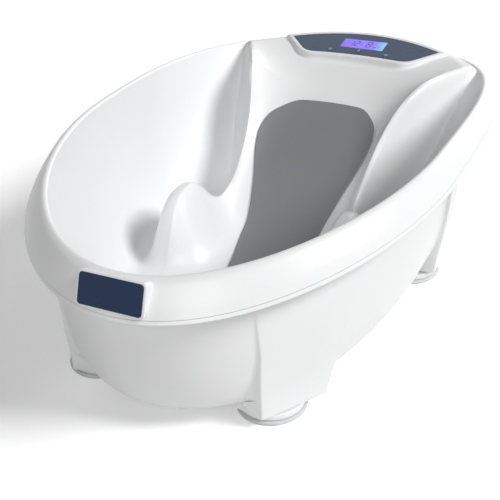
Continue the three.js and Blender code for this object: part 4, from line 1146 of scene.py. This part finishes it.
bars = [piece for row in DIGITS for piece in digit(*row)]
bars += [bar(*row) for row in DOTS_AND_BARS]
figures = joined(bars[0], bars[1:])
figures.name = figures.data.name = "display_figures"
tilt_into_console(figures)
carry(figures, "bath", None, 30)
print("bars on the display:", len(bars))

# %% Marks on the keys
MARK_LOW, MARK_HEIGHT = 0.3, 0.12
ARC_POINTS = 25


def ring_mark(u, v, radius, width, start, end):
    """A flat arc, open between its start and end angle in degrees."""
    turns = np.radians(np.linspace(start, end, ARC_POINTS))
    inner = np.column_stack([u + (radius - width) * np.cos(turns), v + (radius - width) * np.sin(turns)])
    outer = np.column_stack([u + radius * np.cos(turns), v + radius * np.sin(turns)])
    low, high = np.full(ARC_POINTS, MARK_LOW), np.full(ARC_POINTS, MARK_LOW + MARK_HEIGHT)
    points = np.stack([np.column_stack([a, h]) for a, h in
                       ((inner, low), (inner, high), (outer, high), (outer, low), (inner, low))], axis=1)
    piece = grid_onto("mark", points)
    merge_and_face(piece)
    return piece


def key_mark(name, ring, stroke):
    """An arc and a stroke on a key, each at its own rise from the middle of the key."""
    u, v = KEYS[name]
    up, radius, width, start, end = ring
    stroke_up, across, depth = stroke
    arc = ring_mark(u, v + up, radius, width, start, end)
    mark = joined(arc, [block("stroke", u, v + stroke_up, MARK_LOW, across, depth, MARK_HEIGHT)])
    mark.name = mark.data.name = name + "_mark"
    tilt_into_console(mark)
    carry(mark, name + "_button_body", None, 30)


# An arc has its rise, radius, width and two angles, and a stroke its rise, width and length
key_mark("power", (0, 2.5, 0.55, -235, 55), (1.5, 0.6, 2.6))
key_mark("temperature", (-1.6, 1.5, 0.5, 0, 360), (1.2, 1.0, 3.6))
key_mark("weigh", (0, 2.7, 0.5, 0, 360), (0.6, 0.5, 2.6))
print("marks laid on", len(KEYS), "keys")

# %% [markdown]
# A finish is a small graph of nodes. One class makes the nodes of any graph, and a socket's value can be
# added and multiplied like a number, so the graph reads as a line of arithmetic.

# %% Finishes: how the nodes are made


class Field:
    """What a socket gives: a value that varies over a surface, or a shader."""

    def __init__(self, graph, socket):
        self.graph = graph
        self.socket = socket

    def maths(self, operation, first, second):
        return self.graph.node("ShaderNodeMath", {"operation": operation}, [first, second])

    def __add__(self, other):
        return self.maths("ADD", self, other)

    def __radd__(self, other):
        return self.maths("ADD", other, self)

    def __mul__(self, other):
        return self.maths("MULTIPLY", self, other)

    def __rmul__(self, other):
        return self.maths("MULTIPLY", other, self)


def socket_name(key):
    return key.replace("_", " ").title().replace("Ior", "IOR")


class Graph:
    """A tree of nodes that are added one by one."""

    def __init__(self, tree):
        self.tree = tree

    def feed(self, socket, value):
        if isinstance(value, Field):
            self.tree.links.new(value.socket, socket)
        elif socket.type == "RGBA" and len(value) == 3:
            socket.default_value = (*value, 1)
        else:
            socket.default_value = value

    def node(self, kind, settings=None, inputs=(), output=0):
        node = self.tree.nodes.new(kind)
        for key, value in (settings or {}).items():
            if key == "stops":
                ramp = node.color_ramp
                while len(ramp.elements) < len(value):
                    ramp.elements.new(0.5)
                for element, (position, color) in zip(ramp.elements, value):
                    element.position = position
                    element.color = (*color, 1)
            else:
                setattr(node, key, value)
        pairs = inputs.items() if isinstance(inputs, dict) else enumerate(inputs)
        for key, value in pairs:
            self.feed(node.inputs[key], value)
        return Field(self, node.outputs[output])


class Finish(Graph):
    """A material with one main shader; the sockets that are the same all over are set at the start."""

    def __init__(self, name, **constants):
        self.material = bpy.data.materials.new(name)
        self.material.use_nodes = True
        super().__init__(self.material.node_tree)
        self.shader = self.tree.nodes["Principled BSDF"]
        self.surface(**constants)

    def place(self):
        return self.node("ShaderNodeTexCoord", output="Object")

    def noise(self, scale, detail=2.0):
        inputs = {"Vector": self.place(), "Scale": scale, "Detail": detail}
        return self.node("ShaderNodeTexNoise", None, inputs)

    def mix(self, factor, first, second):
        settings = {"data_type": "RGBA"}
        return self.node("ShaderNodeMix", settings, {0: factor, 6: first, 7: second}, output=2)

    def surface(self, **fields):
        for key, value in fields.items():
            self.feed(self.shader.inputs[socket_name(key)], value)
        return self

    def bump(self, height, strength, distance):
        inputs = {"Strength": strength, "Distance": distance, "Height": height}
        return self.surface(normal=self.node("ShaderNodeBump", None, inputs))


print("shader values can be added and multiplied")

# %% [markdown]
# The bath is glossy white polypropylene. Its colour wanders by a hair, its gloss by a little more, and a
# faint orange peel from the mould breaks up the reflections.

# %% White plastic


def white_plastic(name, first, second, gloss):
    finish = Finish(name, coat_weight=0.08, coat_roughness=0.12)
    cloud = finish.noise(6.0, 3.0)
    peel = finish.noise(420.0, 2.0)
    finish.surface(base_color=finish.mix(cloud, first, second), roughness=gloss + 0.08 * cloud)
    return finish.bump(peel, 0.12, 0.00012).material


shell_white = white_plastic("shell_white", (0.78, 0.783, 0.79), (0.82, 0.822, 0.826), 0.33)
fitting_white = white_plastic("fitting_white", (0.78, 0.785, 0.79), (0.83, 0.832, 0.835), 0.3)
print("white plastics ready")

# %% [markdown]
# The mat is soft grey rubber with a fine pebble grain. The plate, the lens and the keys are dark plastic
# under a clear coat, with little gloss of their own, so they stay dark under a white sky.

# %% Grey rubber, navy plate and lens
pad_grey = Finish("pad_grey")
grain = pad_grey.noise(900.0, 2.0)
stain = pad_grey.noise(9.0, 3.0)
pad_grey.surface(base_color=pad_grey.mix(stain, (0.175, 0.18, 0.19), (0.205, 0.208, 0.215)),
                 roughness=0.55 + 0.12 * grain)
pad_grey.bump(grain, 0.35, 0.0002)


def dark_gloss(name, first, second):
    finish = Finish(name, coat_weight=0.1, coat_roughness=0.05, specular_ior_level=0.15)
    cloud = finish.noise(14.0, 2.0)
    finish.surface(base_color=finish.mix(cloud, first, second), roughness=0.24 + 0.06 * cloud)
    return finish.material


plate_navy = dark_gloss("plate_navy", (0.013, 0.030, 0.080), (0.016, 0.035, 0.090))
lens_slate = dark_gloss("lens_slate", (0.040, 0.064, 0.118), (0.044, 0.070, 0.125))
key_slate = dark_gloss("key_slate", (0.045, 0.071, 0.128), (0.050, 0.078, 0.136))
print("dark finishes ready")

# %% [markdown]
# The display glows violet and turns to pale blue at its right-hand end. A ramp across the glass gives the
# two colours, and the glow is weak, as a lit screen is in a bright room. Its figures are dark.

# %% Lit display
GLOW_REACH = 0.034
GLOW_STOPS = [(0.0, (0.16, 0.085, 0.78)), (0.5, (0.20, 0.12, 0.95)), (0.78, (0.19, 0.16, 0.95)),
              (1.0, (0.16, 0.62, 0.88))]
lit = Finish("lit_display", roughness=0.2, coat_weight=0.5, emission_strength=0.9)
across = lit.node("ShaderNodeSeparateXYZ", None, [lit.place()])
glow_range = {"Value": across, "From Min": -GLOW_REACH, "From Max": GLOW_REACH}
share = lit.node("ShaderNodeMapRange", None, glow_range)
glow = lit.node("ShaderNodeValToRGB", {"stops": GLOW_STOPS}, [share])
lit.surface(base_color=(0.02, 0.015, 0.06), emission_color=glow)
figure_dark = Finish("figure_dark", base_color=(0.035, 0.02, 0.16), roughness=0.4)
mark_light = Finish("mark_light", base_color=(0.45, 0.66, 0.80), roughness=0.4, emission_strength=0.12)
mark_light.surface(emission_color=(0.5, 0.8, 1.0))
print("display finish ready")

# %% [markdown]
# The fittings are bought in: sheet steel, rubber, a green board, black and cream plastic. They differ only
# in colour, gloss and the size of their grain, so one function makes them all.

# %% Metals, rubbers and the rest


def plain(name, color, roughness, metallic=0.0, scale=60.0, spread=0.1):
    """A moulded or rolled finish: colour and gloss that wander a little."""
    finish = Finish(name, metallic=metallic)
    cloud = finish.noise(scale, 3.0)
    darker = tuple(c * (1 - spread) for c in color)
    finish.surface(base_color=finish.mix(cloud, darker, color), roughness=roughness + 0.1 * cloud)
    return finish.bump(cloud, 0.05, 0.0002).material


steel = plain("brushed_steel", (0.62, 0.63, 0.65), 0.26, 1.0, 300.0, 0.2)
grip_rubber = plain("grip_rubber", (0.62, 0.625, 0.63), 0.55, 0.0, 500.0, 0.06)
seal_grey = plain("seal_grey", (0.09, 0.09, 0.095), 0.6, 0.0, 300.0)
board_green = plain("board_green", (0.02, 0.10, 0.04), 0.4, 0.0, 80.0, 0.3)
part_black = plain("part_black", (0.012, 0.012, 0.014), 0.42, 0.0, 200.0)
socket_cream = plain("socket_cream", (0.70, 0.66, 0.52), 0.45, 0.0, 100.0)
jacket_blue = plain("jacket_blue", (0.03, 0.07, 0.16), 0.3, 0.0, 40.0)
lead_grey = plain("lead_grey", (0.05, 0.05, 0.055), 0.5, 0.0, 200.0)
print("plain finishes ready")

# %% [markdown]
# Every piece gets its finish by its name. Pieces that stand alone are listed, and families such as the
# feet or the leads are found by how their names start or end, so that all of one kind are dressed alike.

# %% Which finish each piece gets
LOOKS = {
    "basin_skin": shell_white, "casing_skin": shell_white, "console_lip": shell_white,
    "plate_block": shell_white, "seat_pad": pad_grey.material, "plate": plate_navy, "lens": lens_slate,
    "display_figures": figure_dark.material, "drain_ring": fitting_white, "plug": fitting_white,
    "probe_tip": steel, "display_glass": lit.material, "main_board": board_green, "scale_chip": part_black,
    "lead_socket": socket_cream, "console_tray": fitting_white, "console_gasket": seal_grey,
    "display_frame": part_black, "battery_bay": fitting_white, "battery_door": fitting_white,
    "drain_nut": fitting_white, "drain_gasket": seal_grey, "probe_nut": steel,
}
LOOK_STARTS = {
    "disc_": fitting_white, "grip_": grip_rubber, "battery_": jacket_blue, "contact_": steel,
    "casing_screw_": steel, "foot_clip_": steel, "load_cell_lead_": lead_grey, "load_cell_": steel,
}
LOOK_ENDS = {"_key": key_slate, "_mark": mark_light.material, "_switch": part_black, "_lead": lead_grey}


def look_of(name):
    if name in LOOKS:
        return LOOKS[name]
    for end, look in LOOK_ENDS.items():
        if name.endswith(end):
            return look
    for start, look in LOOK_STARTS.items():
        if name.startswith(start):
            return look
    return fitting_white


dressed = 0
for piece in bpy.data.objects:
    if piece.type != "MESH":
        continue
    look = look_of(piece.name)
    if not piece.material_slots:
        piece.data.materials.append(look)
    for slot in piece.material_slots:
        slot.material = look
    dressed += 1
print("pieces dressed:", dressed)

# %% [markdown]
# The studio is a white floor under a white sky. Both are white where they are seen, straight on, in a
# gloss or through glass, and dimmer as light, so the bath is lit at a plain level and keeps its own greys.
# One broad light stands high on the right and throws the shadows towards the left, into the pocket and
# over the floor. A weaker one in front lifts the belly and the legs, and a faint one behind lifts the head
# end. All are suns with a wide disc, because their light is even over the floor while the shadows keep
# soft edges.

# %% Floor and sky
FLOOR_SIZE = 14
FLOOR_GREY, FLOOR_GLOW = (0.75, 0.75, 0.75), 0.22
WHITE = (1.0, 1.0, 1.0)
SKY_COLOUR, SKY_STRENGTH = (0.97, 0.98, 1.0), 0.06
SHOWN_RAYS = ("Is Camera Ray", "Is Glossy Ray", "Is Transmission Ray")


def where_seen(graph, lighting, seen):
    """The first shader for the rays that light the bath, and the second where the studio itself is seen."""
    camera_ray, glossy_ray, clear_ray = [graph.node("ShaderNodeLightPath", output=ray) for ray in SHOWN_RAYS]
    return graph.node("ShaderNodeMixShader", None, [camera_ray + glossy_ray + clear_ray, lighting, seen])


deselect()
bpy.ops.mesh.primitive_grid_add(x_subdivisions=2, y_subdivisions=2, size=FLOOR_SIZE)
floor = bpy.context.object
floor.name = floor.data.name = "studio_floor"
studio_white = Finish("studio_white", base_color=FLOOR_GREY, roughness=1.0, specular_ior_level=0.0)
white_floor = studio_white.node("ShaderNodeBsdfDiffuse", None, {"Color": WHITE})
floor_glow = studio_white.node("ShaderNodeEmission", None, {"Strength": FLOOR_GLOW})
shown_floor = studio_white.node("ShaderNodeAddShader", None, [white_floor, floor_glow])
grey_floor = Field(studio_white, studio_white.shader.outputs[0])
studio_white.feed(studio_white.tree.nodes["Material Output"].inputs["Surface"],
                  where_seen(studio_white, grey_floor, shown_floor))
floor.data.materials.append(studio_white.material)

world = bpy.data.worlds.new("studio_sky")
bpy.context.scene.world = world
world.use_nodes = True
sky = Graph(world.node_tree)
sky.tree.nodes.remove(sky.tree.nodes["Background"])
plain_sky = sky.node("ShaderNodeBackground", None, {"Color": SKY_COLOUR, "Strength": SKY_STRENGTH})
white_sky = sky.node("ShaderNodeBackground", None, {"Color": WHITE})
sky.feed(sky.tree.nodes["World Output"].inputs["Surface"], where_seen(sky, plain_sky, white_sky))
print("floor, metres across:", FLOOR_SIZE)

# %% Lights
BATH_MIDDLE = Vector((0, 0, 0.1))


def sunlight(name, place, spread, strength):
    """A sun at a place that looks at the bath, with the spread of its disc in degrees."""
    deselect()
    bpy.ops.object.light_add(type="SUN", location=place)
    light = bpy.context.object
    light.name = name
    light.data.angle = math.radians(spread)
    light.data.energy = strength
    light.rotation_euler = (BATH_MIDDLE - light.location).to_track_quat("-Z", "Y").to_euler()
    return light


key_light = sunlight("key_light", (2.2, 0.3, 2.0), 20, 2.4)
fill_light = sunlight("fill_light", (0.8, -2.1, 1.5), 30, 1.15)
back_light = sunlight("back_light", (0.5, 2.6, 0.8), 30, 0.8)
print("light strengths:", [round(light.data.energy, 2) for light in (key_light, fill_light, back_light)])

# %% [markdown]
# The camera looks down on the foot end from its right, as in the photograph. Its place was found from the
# rim, the legs and the plate: an angle round the bath, an angle above the floor, a distance and a small
# roll.

# %% Camera
VIEW = {"around": 25.507, "above": 29.344, "distance": 1.4052, "height": 0.07164, "roll": -2.458}
FOCAL_PIXELS, FRAME_PIXELS, SENSOR = 1031.42, 500.0, 36.0
CENTRE_PIXEL = (281.92, 215.99)
around, above, roll = (math.radians(VIEW[key]) for key in ("around", "above", "roll"))
back = Vector((math.sin(around) * math.cos(above), -math.cos(around) * math.cos(above), math.sin(above)))
right = Vector((math.cos(around), math.sin(around), 0))
up = back.cross(right)
turned_right = right * math.cos(roll) + up * math.sin(roll)
turned_up = up * math.cos(roll) - right * math.sin(roll)
bpy.ops.object.camera_add()
camera = bpy.context.object
camera.name = "camera"
spot = Vector((0, 0, VIEW["height"])) + back * VIEW["distance"]
for column, axis in enumerate((turned_right, turned_up, back)):
    for row in range(3):
        camera.matrix_world[row][column] = axis[row]
camera.matrix_world.translation = spot
camera.data.sensor_width = SENSOR
camera.data.lens = FOCAL_PIXELS / FRAME_PIXELS * SENSOR
camera.data.shift_x = -(CENTRE_PIXEL[0] - FRAME_PIXELS / 2) / FRAME_PIXELS
camera.data.shift_y = (CENTRE_PIXEL[1] - FRAME_PIXELS / 2) / FRAME_PIXELS
camera.data.clip_end = 100
bpy.context.scene.camera = camera
bpy.context.scene.view_settings.view_transform = "Standard"
print("camera at", [round(v, 3) for v in spot])
